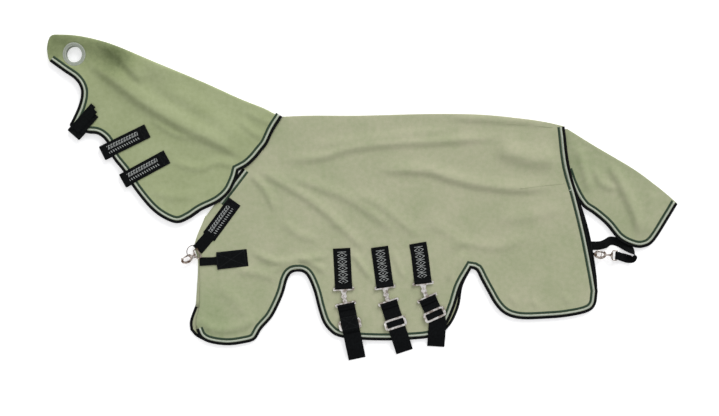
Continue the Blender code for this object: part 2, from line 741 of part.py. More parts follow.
def make_chest():
    """The two left chest straps, the ring on the right chest strap, and the trigger snap between them."""
    height = BODY_TOP + GAP + WEB_THICK / 2
    chest_strap("chest_tab_upper", CHEST_TAB, height, CHEST_WEB, LABEL_WEB)
    chest_strap("chest_strap_lower", CHEST_PATCH, height, NARROW_WEB, BELLY_WEB)

    ring_at = on_rug(CHEST_RING)
    ring_height = RIGHT_BODY + CLOTH + GAP + RING_WIRE / 2
    wire_ring("chest_ring", (ring_at.x, ring_at.y, ring_height), RING_RADIUS, RING_WIRE, steel)
    low = RIGHT_BODY - GAP - TRIM_THICK - GAP - WEB_THICK / 2
    inner = ring_at + Vector((RING_RADIUS - 6 * MM, 0))
    plan = [inner, inner + Vector((CHEST_STRAP_RIGHT, 0))]
    plan_ribbon("chest_strap_right", plan, [(0, low), (CHEST_STRAP_RIGHT, low)], NARROW_WEB, webbing)

    eye_at, tip_at = [on_rug(place) for place in CHEST_SNAP]
    way = tip_at - eye_at
    angle = math.atan2(way.y, way.x)
    plate_height = max(BODY_TOP, ring_height + RING_WIRE / 2) + 2 * GAP + WEB_THICK + SNAP_PLATE / 2
    body = snap_body("chest_snap", CHEST_SNAP_LENGTH, True)
    set_frame(body, eye_at, angle, plate_height)
    gate, gate_joint = snap_gate("chest_snap", CHEST_SNAP_LENGTH, eye_at, angle, plate_height)
    swing = joint_empty("chest_snap_swing", Vector((eye_at.x, eye_at.y, plate_height)), Vector((0, 0, 1)))
    carry(swing, [body, gate_joint])


# Snap hooks, made along +X from the bar of their eye -----------------------------------------

MOUTH = (math.radians(-128), math.radians(-50))
NECK = math.radians(8)


def hook_points(count, radii, centre, start, end):
    found = []
    for k in range(count + 1):
        a = start + (end - start) * k / count
        found.append(centre + Vector((radii[0] * math.cos(a), radii[1] * math.sin(a))))
    return found


def snap_shape(length):
    """The centre and the outer and inner half sizes of a snap's hook, which ends at the snap's length."""
    outer = (SNAP_HOOK / 2, SNAP_HALF)
    inner = (outer[0] - SNAP_RIM, outer[1] - SNAP_RIM)
    return Vector((length - outer[0], 0)), outer, inner


def snap_hook_outline(length, from_x):
    """The hook, open at the mouth on its lower side, with a neck back to from_x."""
    centre, outer, inner = snap_shape(length)
    neck = 3.5 * MM
    up = hook_points(12, outer, centre, MOUTH[1], math.pi - NECK)
    down = hook_points(4, outer, centre, math.pi + NECK, 2 * math.pi + MOUTH[0])
    back = hook_points(16, inner, centre, 2 * math.pi + MOUTH[0], MOUTH[1])
    return up + [Vector((from_x, neck)), Vector((from_x, -neck))] + down + back


def snap_eye_outlines():
    """The D-shaped eye that the webbing turns round, and its slot."""
    half, shoulder, taper = SNAP_EYE / 2, SNAP_EYE_LENGTH - 5 * MM, 5 * MM
    outer = [Vector((-BAR / 2, half)), Vector((shoulder, half)), Vector((SNAP_EYE_LENGTH, taper))]
    inner, far = half - BAR, shoulder - 0.5 * MM
    slot = [Vector((BAR / 2, inner)), Vector((far, inner))]
    mirrored = [[Vector((point.x, -point.y)) for point in side[::-1]] for side in (outer, slot)]
    return outer + mirrored[0], slot + mirrored[1]


def snap_body(name, length, with_eye):
    """The snap's hook. On a fixed snap the eye is one piece with it."""
    half = SNAP_PLATE / 2
    outline = snap_hook_outline(length, SNAP_EYE_LENGTH + (-1 * MM if with_eye else 2 * GAP))
    hook = plate_mesh(flat_piece(name + "_hook", [outline], -half, half, steel))
    if with_eye:
        thinner = half - 0.01 * MM
        eye = plate_mesh(flat_piece(name + "_eye_plate", snap_eye_outlines(), -thinner, thinner, steel))
        unite(hook, [eye])
    return hook


def snap_gate(name, length, origin, angle, height):
    """The sprung gate that closes the hook's mouth, and the empty on its pivot."""
    centre, outer, inner = snap_shape(length)
    middle = [(a + b) / 2 for a, b in zip(outer, inner)]
    ends = [centre + Vector((middle[0] * math.cos(a), middle[1] * math.sin(a))) for a in MOUTH]
    way = (ends[1] - ends[0]).normalized()
    across = Vector((-way.y, way.x)) * 1.9 * MM
    first, last = ends[0] + way * 1.6 * MM, ends[1] - way * 2.6 * MM
    outline = rounded([first - across, last - across, last + across, first + across], 1.2 * MM, 2)
    gate = flat_piece(name + "_gate", [outline], -SNAP_PLATE / 2, SNAP_PLATE / 2, steel)
    set_frame(gate, origin, angle, height)
    turn = Matrix.Rotation(angle, 2)
    pivot = origin + turn @ first
    empty = joint_empty(name + "_gate_turn", Vector((pivot.x, pivot.y, height)), Vector((0, 0, 1)))
    carry(empty, [gate])
    return gate, empty


# The tail strap -----------------------------------------------------------------------------

def make_tail_strap():
    """The strap passes under the tail flap, turns back on edge and ends in a swivel snap."""
    places = [on_rug(point[:2]) for point in TAIL_STRAP]
    stations = []
    for i, (_, _, rolled) in enumerate(TAIL_STRAP):
        before, after = places[max(i - 1, 0)], places[min(i + 1, len(places) - 1)]
        way = (after - before).normalized()
        left = Vector((-way.y, way.x, 0))
        rolled = math.radians(rolled)
        half = (left * math.cos(rolled) + Vector((0, 0, 1)) * math.sin(rolled)) * NARROW_WEB / 2
        centre = Vector((places[i].x, places[i].y, WEB_THICK / 2 + abs(half.z)))
        stations.append((centre, half))
    snap_bar, snap_tip = [on_rug(place) for place in TAIL_SNAP]
    snap_way = (snap_tip - snap_bar).normalized()
    angle = math.atan2(snap_way.y, snap_way.x)
    right = Vector((snap_way.y, -snap_way.x, 0)) * (SNAP_EYE / 2 - BAR - 0.8 * MM)
    radius = math.hypot(BAR, SNAP_PLATE) / 2 + GAP + WEB_THICK / 2
    for k in range(8):
        a = math.radians(-95 + 32 * k)
        centre = Vector((snap_bar.x, snap_bar.y, TAIL_BUCKLE + radius * math.sin(a)))
        centre += Vector((snap_way.x, snap_way.y, 0)) * radius * math.cos(a)
        stations.append((centre, right))
    end = Vector((snap_bar.x, snap_bar.y, 0)) - Vector((snap_way.x, snap_way.y, 0)) * 9 * MM
    stations.append((Vector((end.x, end.y, TAIL_BUCKLE + 1 * MM)), right))
    ribbon("tail_strap", stations, WEB_THICK, webbing)

    outer, slot = snap_eye_outlines()
    eye = flat_piece("tail_snap_eye", [outer, slot], -SNAP_PLATE / 2, SNAP_PLATE / 2, steel)
    set_frame(eye, snap_bar, angle, TAIL_BUCKLE)
    body = snap_body("tail_snap", TAIL_SNAP_LENGTH, False)
    set_frame(body, snap_bar, angle, TAIL_BUCKLE)
    gate, gate_joint = snap_gate("tail_snap", TAIL_SNAP_LENGTH, snap_bar, angle, TAIL_BUCKLE)
    shaft = snap_bar + snap_way * SNAP_EYE_LENGTH
    swivel_axis = Vector((snap_way.x, snap_way.y, 0))
    swivel = joint_empty("tail_snap_swivel", Vector((shaft.x, shaft.y, TAIL_BUCKLE)), swivel_axis)
    carry(swivel, [body, gate_joint])

    ring_at = on_rug(TAIL_RING)
    ring_height = WEB_THICK / 2 + TAIL_RING_FOLD
    wire_ring("tail_ring", (ring_at.x, ring_at.y, ring_height), TAIL_RING_RADIUS, TAIL_RING_WIRE, steel)
    wire_at = ring_at - Vector((TAIL_RING_RADIUS, 0))
    side = [(1.5 * MM, ring_height + TAIL_RING_FOLD)]
    for k in range(1, 7):
        a = math.radians(90 + 30 * k)
        side.append((TAIL_RING_FOLD * math.cos(a), ring_height + TAIL_RING_FOLD * math.sin(a)))
    side.append((TAIL_RING_TAB, WEB_THICK / 2))
    plan = [wire_at, wire_at - Vector((TAIL_RING_TAB, 0))]
    plan_ribbon("tail_ring_tab", plan, side, TAIL_TAB_WEB, webbing)


# Joint axes ---------------------------------------------------------------------------------


def joint_empty(name, place, axis):
    """An empty on a joint's axis, with its own Z along the axis."""
    empty = bpy.data.objects.new("axis_" + name, None)
    rug.objects.link(empty)
    turn = axis.normalized().to_track_quat("Z", "Y").to_matrix().to_4x4()
    empty.matrix_world = Matrix.Translation(place) @ turn
    empty.empty_display_size = 0.03
    return empty


def carry(parent, children):
    bpy.context.view_layer.update()
    for child in children:
        place = child.matrix_world.copy()
        child.parent = parent
        child.matrix_parent_inverse = parent.matrix_world.inverted()
        child.matrix_world = place
    bpy.context.view_layer.update()


def pieces(*names):
    return [bpy.data.objects[name] for name in names]


def make_neck_hinge():
    upper, lower = [on_rug(point) for point in NECK_HINGE]
    way = (lower - upper).normalized()
    toward_body = Vector((-way.y, way.x))
    place = (upper + lower) / 2 + toward_body * NECK_HINGE_OFFSET * MM
    height = NECK_TRIM_TOP + 2 * GAP + WEB_THICK
    fold = joint_empty("neck_cover_fold", Vector((place.x, place.y, height)), Vector((-way.x, -way.y, 0)))
    names = ["neck_left", "neck_right", "neck_seam", "ear_rim_left", "ear_rim_right", "neck_binding_left"]
    names += ["neck_piping_left", "neck_tape_left", "neck_binding_right", "neck_trim_right"]
    straps = [make_throat_strap(1, THROAT_BUNCH)]
    straps += [make_throat_strap(i, ends, THROAT_STRAP) for i, ends in enumerate(THROAT_LABELS, 2)]
    carry(fold, [*pieces(*names), *straps])


def make_tail_hinge():
    upper, lower = [on_rug(point) for point in TAIL_HINGE]
    way = (lower - upper).normalized()
    place = (upper + lower) / 2
    height = LEFT_TAIL + CLOTH + GAP + TRIM_THICK + 2 * GAP
    lift = joint_empty("tail_flap_lift", Vector((place.x, place.y, height)), Vector((way.x, way.y, 0)))
    names = ["tail_left", "tail_right", "tail_seam", "tail_binding_left", "tail_piping_left"]
    names += ["tail_tape_left", "tail_binding_right", "tail_trim_right"]
    carry(lift, pieces(*names))


def world_points(item):
    """The corners of an object's finished mesh, in world space."""
    evaluated = item.evaluated_get(bpy.context.evaluated_depsgraph_get())
    points = [evaluated.matrix_world @ vertex.co for vertex in evaluated.to_mesh().vertices]
    evaluated.to_mesh_clear()
    return points


def centre_on_origin():
    """Parents everything to one empty, and moves that so the rug's box is centred over the origin."""
    bpy.context.view_layer.update()
    points = [point for item in rug.objects if item.type != "EMPTY" for point in world_points(item)]
    low, high = [Vector([end(point[i] for point in points) for i in range(3)]) for end in (min, max)]
    frame = bpy.data.objects.new("turnout_rug_frame", None)
    rug.objects.link(frame)
    carry(frame, [item for item in rug.objects if item.parent is None and item is not frame])
    frame.location = (-(low.x + high.x) / 2, -(low.y + high.y) / 2, -low.z)
    bpy.context.view_layer.update()


def main():
    make_body()
    make_neck()
    make_tail()
    for number, design in enumerate(BELLY_STRAPS, 1):
        make_belly_strap(number, design)
    make_chest()
    make_tail_strap()
    make_neck_hinge()
    make_tail_hinge()
    centre_on_origin()


main()
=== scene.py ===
import math

import bmesh
import bpy
import numpy as np
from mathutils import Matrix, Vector, noise
from mathutils.geometry import delaunay_2d_cdt


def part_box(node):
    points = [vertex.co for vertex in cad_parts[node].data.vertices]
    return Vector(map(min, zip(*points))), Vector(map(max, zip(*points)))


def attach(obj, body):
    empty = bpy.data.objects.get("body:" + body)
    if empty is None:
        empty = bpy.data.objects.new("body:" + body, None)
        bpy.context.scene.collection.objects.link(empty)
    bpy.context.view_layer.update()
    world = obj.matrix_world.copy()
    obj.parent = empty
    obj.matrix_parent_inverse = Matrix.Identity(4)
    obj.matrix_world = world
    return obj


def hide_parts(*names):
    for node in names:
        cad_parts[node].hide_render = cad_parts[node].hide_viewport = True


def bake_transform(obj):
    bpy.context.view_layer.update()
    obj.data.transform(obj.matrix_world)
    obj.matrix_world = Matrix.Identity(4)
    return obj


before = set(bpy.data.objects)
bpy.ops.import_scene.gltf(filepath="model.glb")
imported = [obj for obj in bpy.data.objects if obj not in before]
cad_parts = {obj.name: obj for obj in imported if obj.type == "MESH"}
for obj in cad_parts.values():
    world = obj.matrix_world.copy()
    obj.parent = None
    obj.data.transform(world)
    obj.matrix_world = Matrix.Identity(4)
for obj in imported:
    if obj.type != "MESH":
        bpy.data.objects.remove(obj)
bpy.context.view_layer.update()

MM = 0.001
# Vertices nearer than WELD are one, and outline points nearer than SAME_POINT are one
WELD = 0.002 * MM
SAME_POINT = 0.01 * MM
# Legs whose directions differ by less than STRAIGHT need no mitre. A moved point has to be this share of
# its distance away from the line, or it gathers on its neighbour.
STRAIGHT = 0.05
CLEAR_SHARE = 0.93

# The rug's pattern, in millimetres, as the CAD part has it: anticlockwise from above
SPINE = [(586, 201), (528, 214), (458, 224), (342, 235), (197, 237), (-6, 232), (-150, 232), (-230, 229)]
NECKLINE = [(-230, 229), (-262, 183), (-302, 125), (-345, 81), (-380, 35), (-418, -14), (-454, -61)]
CHEST_LEFT = [(-454, -61), (-483, -139), (-471, -194), (-469, -310), (-478, -352), (-480, -386)]
CHEST_RIGHT = [(-454, -61), (-483, -139), (-474, -194), (-480, -310), (-498, -360), (-497, -388)]
FRONT_HEM = [(-480, -386), (-468, -410), (-441, -425), (-391, -432), (-345, -427), (-310, -416)]
FRONT_HEM_RIGHT = [(-497, -388), (-478, -408), (-441, -424), (-391, -430), (-345, -425), (-310, -414)]
FRONT_ARCH = [
    (-290, -385), (-261, -352), (-241, -315), (-226, -279), (-216, -243), (-205, -225), (-188, -219),
    (-168, -223), (-154, -241), (-139, -279), (-128, -322), (-114, -364), (-95, -390),
]
BELLY_HEM = [(-71, -406), (-20, -415), (72, -418), (150, -415), (197, -409)]
BELLY_RISE_LEFT = [(230, -391), (251, -362), (270, -316), (288, -260), (316, -211)]
BELLY_RISE_RIGHT = [(235, -394), (262, -364), (282, -316), (292, -260), (316, -211)]
HIND_HEM = [
    (316, -211), (330, -216), (344, -243), (362, -276), (382, -311), (405, -337), (432, -351),
    (470, -357), (530, -355), (589, -350), (650, -337), (675, -316), (682, -275),
]
REAR = [(682, -275), (673, -220), (654, -122), (638, -54), (622, 9), (605, 65), (595, 116), (586, 201)]
REAR_RIGHT = [(682, -275), (678, -220), (662, -122), (644, -54), *REAR[4:]]
POLL = [(-230, 229), (-249, 235), (-284, 253), (-354, 281), (-458, 328), (-597, 386), (-720, 437)]
POLL_TOP = [(-720, 437), (-806, 460), (-872, 466), (-900, 462), (-910, 432), (-907, 400), (-902, 388)]
FACE = [
    (-902, 388), (-863, 360), (-830, 337), (-814, 314), (-812, 290), (-820, 258), (-836, 222), (-844, 203),
]
THROAT = [
    (-844, 203), (-822, 190), (-793, 181), (-763, 177), (-738, 155), (-722, 112), (-687, 67),
    (-658, 20), (-613, -35), (-574, -65), (-534, -79), (-499, -66), (-464, -43), (-415, -19),
    (-383, 9), (-364, 46), (-356, 72),
]
NECK_SEAM = [(-356, 72), (-331, 86), (-308, 107), (-291, 128), (-273, 151), (-254, 191), (-230, 229)]
TAIL_SPINE = [(913, -23), (880, 6), (845, 34), (783, 79), (670, 146), (593, 194)]
TAIL_ROOT = [(593, 194), (596, 134), (588, 74)]
TAIL_EDGE = [
    (588, 74), (603, 32), (620, -4), (641, -33), (670, -53), (706, -84), (742, -126), (783, -147),
    (815, -149), (845, -131), (887, -66), (913, -23),
]
RIGHT_NECK_CLEARANCE = 12

# Creases of each part: height, how far the crest falls away to its left and to its right, and its line
BODY_CREASES = [
    (4.6, 15, 8, [(-255, 99), (-122, 110), (-35, 135), (81, 149), (197, 155), (342, 164), (429, 171)]),
    (2.2, 12, 12, [(-180, 136), (-35, 161), (139, 180), (299, 194)]),
    (5.2, 24, 8, [(23, 71), (183, 70), (255, 49), (342, 29), (458, 17), (571, 28)]),
    (3.4, 12, 6, [(241, 226), (371, 219), (473, 212), (551, 202)]),
    (6.5, 36, 22, [(378, 136), (458, 113), (516, 102), (571, 116)]),
    (3.6, 14, 12, [(583, 199), (594, 133), (606, 29)]),
    (3.8, 18, 9, [(-318, 83), (-238, 39), (-165, -4), (-107, -48), (-35, -107)]),
    (3.2, 20, 10, [(-238, 64), (-122, 23), (-35, -12), (52, -70), (110, -116)]),
    (2.8, 20, 11, [(-35, 10), (38, -19), (96, -62), (175, -125)]),
    (3.4, 12, 8, [(-328, 68), (-281, 17), (-249, -48)]),
    (2.6, 14, 9, [(-100, -67), (-35, -113), (6, -157)]),
    (1.8, 22, 12, [(183, -70), (255, -113), (320, -145)]),
    (4.2, 11, 7, [(-328, -157), (-252, -191), (-180, -184), (-86, -174)]),
    (3.2, 9, 7, [(-183, -177), (-136, -200), (-100, -223)]),
    (2.6, 9, 7, [(-274, -226), (-216, -203), (-162, -206)]),
    (4.0, 10, 7, [(-35, -157), (6, -212), (41, -252)]),
    (2.4, 9, 7, [(88, -157), (106, -207), (128, -244)]),
    (3.8, 16, 8, [(-481, -348), (-452, -377), (-409, -389), (-342, -377), (-296, -338)]),
    (2.2, 24, 14, [(378, -72), (516, -55), (592, -29)]),
    (2.2, 18, 11, [(226, -157), (299, -139), (400, -148), (487, -116)]),
    (3.2, 12, 9, [(299, -157), (267, -207), (244, -252)]),
    (2.4, 14, 10, [(-238, -70), (-180, -113), (-122, -128)]),
    (1.6, 9, 7, [(426, -284), (450, -319)]),
    (1.6, 9, 7, [(490, -296), (513, -331)]),
    (1.6, 9, 7, [(577, -281), (606, -316)]),
    (2.8, 14, 10, [(-368, -215), (-296, -226), (-238, -244)]),
    (2.0, 20, 16, [(-426, -258), (-368, -302), (-325, -360)]),
]
NECK_CREASES = [
    (12.0, 34, 10, [(-803, 389), (-724, 339), (-629, 267), (-528, 206), (-426, 157), (-325, 104)]),
    (3.2, 10, 8, [(-615, 228), (-542, 180), (-455, 165)]),
    (4.4, 30, 20, [(-629, 336), (-513, 278), (-412, 213), (-310, 136)]),
    (9.0, 40, 36, [(-911, 464), (-832, 464), (-774, 452), (-687, 416), (-600, 376), (-499, 328)]),
    (12.0, 24, 10, [(-768, 452), (-735, 430), (-700, 405), (-655, 354), (-625, 318)]),
    (2.8, 12, 8, [(-564, 102), (-470, 78), (-412, 97), (-347, 75)]),
    (2.6, 10, 8, [(-357, 223), (-318, 184), (-278, 168)]),
    (2.2, 10, 8, [(-339, 246), (-296, 223), (-255, 209)]),
    (2.4, 18, 14, [(-879, 383), (-821, 348), (-795, 296)]),
    (2.0, 16, 10, [(-615, 17), (-542, -4), (-470, 3)]),
]
TAIL_CREASES = [
    (4.2, 14, 9, [(618, 148), (639, 75), (658, 6)]),
    (3.4, 12, 9, [(670, 83), (693, 35), (741, 20)]),
    (5.4, 22, 9, [(708, 102), (755, 14), (786, -55), (809, -130)]),
    (2.4, 14, 12, [(844, 23), (829, -55), (824, -119)]),
    (3.0, 20, 14, [(632, 180), (719, 136), (813, 72)]),
]


# Plan lines ---------------------------------------------------------------------------------


def catmull_rom(points, spacing, least):
    """A curve through points, at least so many steps between two of them. The first numbers are a place."""
    p = np.array(points, float)
    padded = np.vstack([2 * p[0] - p[1], p, 2 * p[-1] - p[-2]])
    found = []
    for a, b, c, d in zip(padded, padded[1:], padded[2:], padded[3:]):
        count = max(least, int(np.linalg.norm((c - b)[:3]) / spacing))
        for t in np.arange(count) / count:
            square = (2 * a - 5 * b + 4 * c - d) * t**2
            cube = (3 * b - a - 3 * c + d) * t**3
            found.append((2 * b + (c - a) * t + square + cube) / 2)
    return np.array([*found, p[-1]])


def smooth_run(points, spacing=6.0):
    """A curve through pattern points, in metres."""
    return catmull_rom(points, spacing, 2) * MM


def distances_along(path):
    """How far along a path each of its points is."""
    return np.concatenate([[0], np.cumsum(np.linalg.norm(np.diff(path, axis=0), axis=1))])


def circle(centre, radius, count):
    turn = np.linspace(0, 2 * np.pi, count + 1)[:-1]
    return centre + radius * np.stack([np.cos(turn), np.sin(turn)], 1)


def unit(vector):
    return vector / np.linalg.norm(vector)


def joined(*runs):
    path = list(runs[0])
    for run in runs[1:]:
        path += list(run[1:] if np.linalg.norm(run[0] - path[-1]) < SAME_POINT else run)
    return np.array(path)


def to_path(points, path, closed=False):
    """How far each point is from a path, on which side, and the share of the path's length there."""
    path = np.vstack([path, path[:1]]) if closed else path
    lengths = distances_along(path)
    best = np.full(len(points), np.inf)
    side, share = np.zeros(len(points)), np.zeros(len(points))
    for i in range(len(path) - 1):
        leg = path[i + 1] - path[i]
        size = max(leg @ leg, 1e-18)
        t = np.clip((points - path[i]) @ leg / size, 0, 1)
        away = points - path[i] - t[:, None] * leg
        distance = np.linalg.norm(away, axis=1)
        closer = distance < best
        best[closer] = distance[closer]
        side[closer] = np.sign(leg[0] * away[:, 1] - leg[1] * away[:, 0])[closer]
        share[closer] = ((lengths[i] + t * (lengths[i + 1] - lengths[i])) / lengths[-1])[closer]
    return best, side, share


def offset_path(path, distances, closed=False):
    """The path moved to its left, each leg by its own distance, with mitred corners.

    Points that would fold over at a tight bend gather on the nearest point that doesn't.
    """
    n = len(path)
    legs = n if closed else n - 1
    d = np.full(legs, distances, float) if np.isscalar(distances) else np.array(distances, float)
    along = np.array([path[(i + 1) % n] - path[i] for i in range(legs)])
    along /= np.linalg.norm(along, axis=1)[:, None]
    left = np.stack([-along[:, 1], along[:, 0]], 1)
    moved = np.zeros_like(path)
    for i in range(n):
        a = (i - 1) % legs if closed or i else 0
        b = i % legs if closed or i < n - 1 else legs - 1
        cross = along[a][0] * along[b][1] - along[a][1] * along[b][0]
        start, other = path[i] + left[a] * d[a], path[i] + left[b] * d[b]
        if abs(cross) < STRAIGHT:
            moved[i] = (start + other) / 2
        else:
            gap = other - start
            moved[i] = start + along[a] * (gap[0] * along[b][1] - gap[1] * along[b][0]) / cross
    order = np.arange(n)
    before = order - 1 if closed else np.maximum(order - 1, 0)
    least = np.minimum(d[before], d[np.minimum(order, legs - 1)])
    good = to_path(moved, path, closed)[0] > np.abs(least) * CLEAR_SHARE - 1e-9
    keep = np.flatnonzero(good)
    nearest = keep[np.abs(order[:, None] - keep[None, :]).argmin(1)]
    return moved[nearest]


def inside(points, outline):
    """Which points are inside a closed outline."""
    found = np.zeros(len(points), bool)
    for a, b in zip(np.roll(outline, 1, 0), outline):
        if a[1] != b[1]:
            crosses = (a[1] > points[:, 1]) != (b[1] > points[:, 1])
            found ^= crosses & (points[:, 0] < a[0] + (b[0] - a[0]) * (points[:, 1] - a[1]) / (b[1] - a[1]))
    return found


def smoothstep(t):
    t = np.clip(t, 0, 1)
    return t * t * (3 - 2 * t)


# Where the pattern lies in the frame, and the heights of the CAD layers
front_half = smooth_run([*FRONT_HEM, *FRONT_ARCH, *BELLY_HEM, *BELLY_RISE_LEFT])
bound_edge = joined(front_half, smooth_run(HIND_HEM), smooth_run(REAR))
binding_low, binding_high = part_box("body_binding_left")
PLACE = np.array([binding_high.x - bound_edge[:, 0].max(), binding_low.y - bound_edge[:, 1].min()])


def spot(x, y):
    """A pattern point's place in the frame."""
    return np.array([x, y]) * MM + PLACE


def run(points, spacing=6.0):
    return smooth_run(points, spacing) + PLACE


def middle_of(node):
    """The middle of a CAD node in the plan."""
    low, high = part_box(node)
    return np.array([(low.x + high.x) / 2, (low.y + high.y) / 2])


def level(node):
    """The middle height of a flat CAD node."""
    low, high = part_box(node)
    return (low.z + high.z) / 2


BODY_Z, BODY_UNDER_Z = level("body_left"), level("body_right")
NECK_Z, NECK_UNDER_Z = level("neck_left"), level("neck_right")
TAIL_Z, TAIL_UNDER_Z = level("tail_left"), level("tail_right")
CLOTH = 1.2 * MM
BODY_TOP = BODY_Z + CLOTH / 2
WEB = 1.6 * MM
BINDING = 8.5 * MM
PIPING = (8.9 * MM, 13.9 * MM)
TAPE = (14.6 * MM, 21.1 * MM)
HEM_UNDER_BINDING = 4 * MM

# How far the weave coordinate is moved on webbing's underside, which has no woven pattern
UNDERSIDE = 1.0
HOLE_SIDES = 48
HEM_INSET = 1 * MM
HEM_ROLL = 1.1 * MM
HEM_DEPTH = 13 * MM
HEM_GAP = 0.1 * MM

CREASE_GAIN = 1.5
CREASE_SPACING = 14
CREASE_FADE = 0.22
MOST_RISE = 18 * MM
DEEPEST = 1.5 * MM
# The cloth's slow unevenness: height, how fast it varies along x and y, and its place in the noise
UNEVENNESS = [(1.5, 5.2, 7.5, 0.3), (0.55, 17, 23, 4.1), (0.16, 60, 70, 9.2)]
CALM_REST = 0.06
# Metalwork that stands at a fixed height, so the cloth stays flat round it: lines and radii
CALM = [
    ([(-56, -215), (-50, -292), (-15, -466)], 24, 34),
    ([(62, -225), (84, -330), (122, -446)], 24, 34),
    ([(173, -215), (186, -290), (218, -361), (214, -431)], 24, 34),
    ([(-443, -118), (-490, -180)], 26, 26),
    ([(586, -176), (690, -160)], 14, 20),
]


def uneven(x, y):
    """The cloth's slow unevenness at a place, in millimetres."""
    return sum(
        height * noise.noise(Vector((x * fast_x, y * fast_y, z)))
        for height, fast_x, fast_y, z in UNEVENNESS
    )


def creased(points, creases):
    """How far the cloth stands up at points of the plan, from its creases and its slow unevenness."""
    total = np.zeros(len(points))
    for height, left, right, line in creases:
        distance, side, share = to_path(points, run(line, CREASE_SPACING))
        width = np.where(side > 0, left, right) * MM
        ends = smoothstep(share / CREASE_FADE) * smoothstep((1 - share) / CREASE_FADE)
        total += CREASE_GAIN * height * MM * ends * np.exp(-((distance / width) ** 2))
    total += np.array([uneven(x, y) for x, y in points]) * MM
    calm = np.ones(len(points))
    for line, radius, fade in CALM:
        distance = to_path(points, run(line, CREASE_SPACING))[0]
        calm *= CALM_REST + (1 - CALM_REST) * smoothstep((distance - radius * MM) / (fade * MM))
    return np.maximum(total * calm, -DEEPEST)


def flat_rise(points):
    return np.zeros(len(points))


def body_rise(points):
    return creased(points, BODY_CREASES)


def neck_rise(points):
    """The neck cover's creases, none of them higher than MOST_RISE."""
    rise = creased(points, NECK_CREASES)
    return np.where(rise > 0, MOST_RISE * np.tanh(rise / MOST_RISE), rise)


# Mesh pieces --------------------------------------------------------------------------------


def mesh_piece(name, vertices, faces, uvs, material):
    """An object from vertices and faces. uvs holds each vertex's place in the weave, in metres."""
    mesh = bpy.data.meshes.new(name)
    mesh.from_pydata([tuple(v) for v in vertices], [], [tuple(f) for f in faces])
    layer = mesh.uv_layers.new(name="weave")
    index = np.zeros(len(mesh.loops), int)
    mesh.loops.foreach_get("vertex_index", index)
    layer.data.foreach_set("uv", np.array(uvs, np.float32)[index].ravel())
    mesh.materials.append(material)
    mesh.polygons.foreach_set("use_smooth", [True] * len(mesh.polygons))
    item = bpy.data.objects.new(name, mesh)
    bpy.context.scene.collection.objects.link(item)
    return item


def tidied(item):
    """Welds doubled vertices, drops faces without area and turns all faces outwards."""
    work = bmesh.new()
    work.from_mesh(item.data)
    bmesh.ops.remove_doubles(work, verts=work.verts, dist=WELD)
    bmesh.ops.dissolve_degenerate(work, edges=work.edges, dist=WELD)
    bmesh.ops.recalc_face_normals(work, faces=work.faces)
    work.to_mesh(item.data)
    work.free()
    return item


def thickened(item):
    """Gives a flat mesh the cloth's thickness."""
    modifier = item.modifiers.new("thickness", "SOLIDIFY")
    modifier.thickness = CLOTH
    modifier.offset = 0
    mesh = bpy.data.meshes.new_from_object(item.evaluated_get(bpy.context.evaluated_depsgraph_get()))
    item.modifiers.clear()
    item.data = mesh


def sheet(name, runs, rise, height, mid_height, material, spacing=7.5, hole=None, tone_and_shade=None):
    """A cloth panel. runs are the outline's stretches, each (path, kind).

    kind is "bound" for an edge that sits in its binding, "fold" for the fold that both sides share,
    "hem" for an edge that is turned under, and "under" for one that runs on below its neighbour.
    """
    insets = {"bound": HEM_UNDER_BINDING, "fold": abs(height - mid_height), "hem": HEM_INSET, "under": 0.0}
    outline, distances, kinds = [], [], []
    for path, kind in runs:
        for point in path:
            if outline and np.linalg.norm(point - outline[-1]) < SAME_POINT:
                kinds[-1], distances[-1] = kind, insets[kind]
                continue
            if outline and np.linalg.norm(point - outline[0]) < SAME_POINT:
                continue
            outline.append(point)
            distances.append(insets[kind])
            kinds.append(kind)
    outline = np.array(outline)
    edge = offset_path(outline, distances, closed=True)
    low, high = edge.min(0), edge.max(0)
    xs = np.arange(low[0] + spacing / 2 * MM, high[0], spacing * MM)
    ys = np.arange(low[1] + spacing / 2 * MM, high[1], spacing * MM)
    grid = np.array([(x + (spacing / 2 * MM if j % 2 else 0), y) for j, y in enumerate(ys) for x in xs])
    grid = grid[inside(grid, edge)]
    grid = grid[to_path(grid, edge, closed=True)[0] > spacing * 0.45 * MM]
    hole_loop = []
    if hole:
        centre, radius = hole
        hole_loop = circle(centre, radius, HOLE_SIDES)
        grid = grid[np.linalg.norm(grid - centre, axis=1) > radius + spacing * 0.5 * MM]
    every = [Vector(p) for p in edge] + [Vector(p) for p in hole_loop] + [Vector(p) for p in grid]
    n, m = len(edge), len(hole_loop)
    borders = [(i, (i + 1) % n) for i in range(n)] + [(n + i, n + (i + 1) % m) for i in range(m)]
    points, _, triangles, origins, _, _ = delaunay_2d_cdt(every, borders, [], 1, 1e-7, True)
    plan = np.array([(p.x, p.y) for p in points])
    triangles = np.array(triangles)
    middles = plan[triangles].mean(1)
    kept = inside(middles, edge)
    if hole:
        clear = radius * math.cos(math.pi / HOLE_SIDES) - 0.001 * MM
        kept &= np.linalg.norm(middles - centre, axis=1) > clear
    faces = [tuple(t) for t in triangles[kept].tolist()]
    vertices = [tuple(v) for v in np.column_stack([plan, height + rise(plan)])]
    where = {k: i for i, inputs in enumerate(origins) for k in inputs}
    way = np.sign(mid_height - height)
    faces, added, uvs = add_rolls(vertices, faces, where, edge, outline, kinds, insets, way, mid_height)
    item = mesh_piece(name, vertices + added, faces, [(v[0], v[1]) for v in vertices] + uvs, material)
    tidied(item)
    # The darkness attribute holds the cloth's darker colour and its painted shade.
    if tone_and_shade is not None:
        attribute = item.data.attributes.new("tone_and_shade", "FLOAT", "POINT")
        co = np.array([v.co for v in item.data.vertices])
        attribute.data.foreach_set("value", tone_and_shade(co[:, :2]).astype(np.float32))
    thickened(item)
    return item, polygon_area(outline), outline


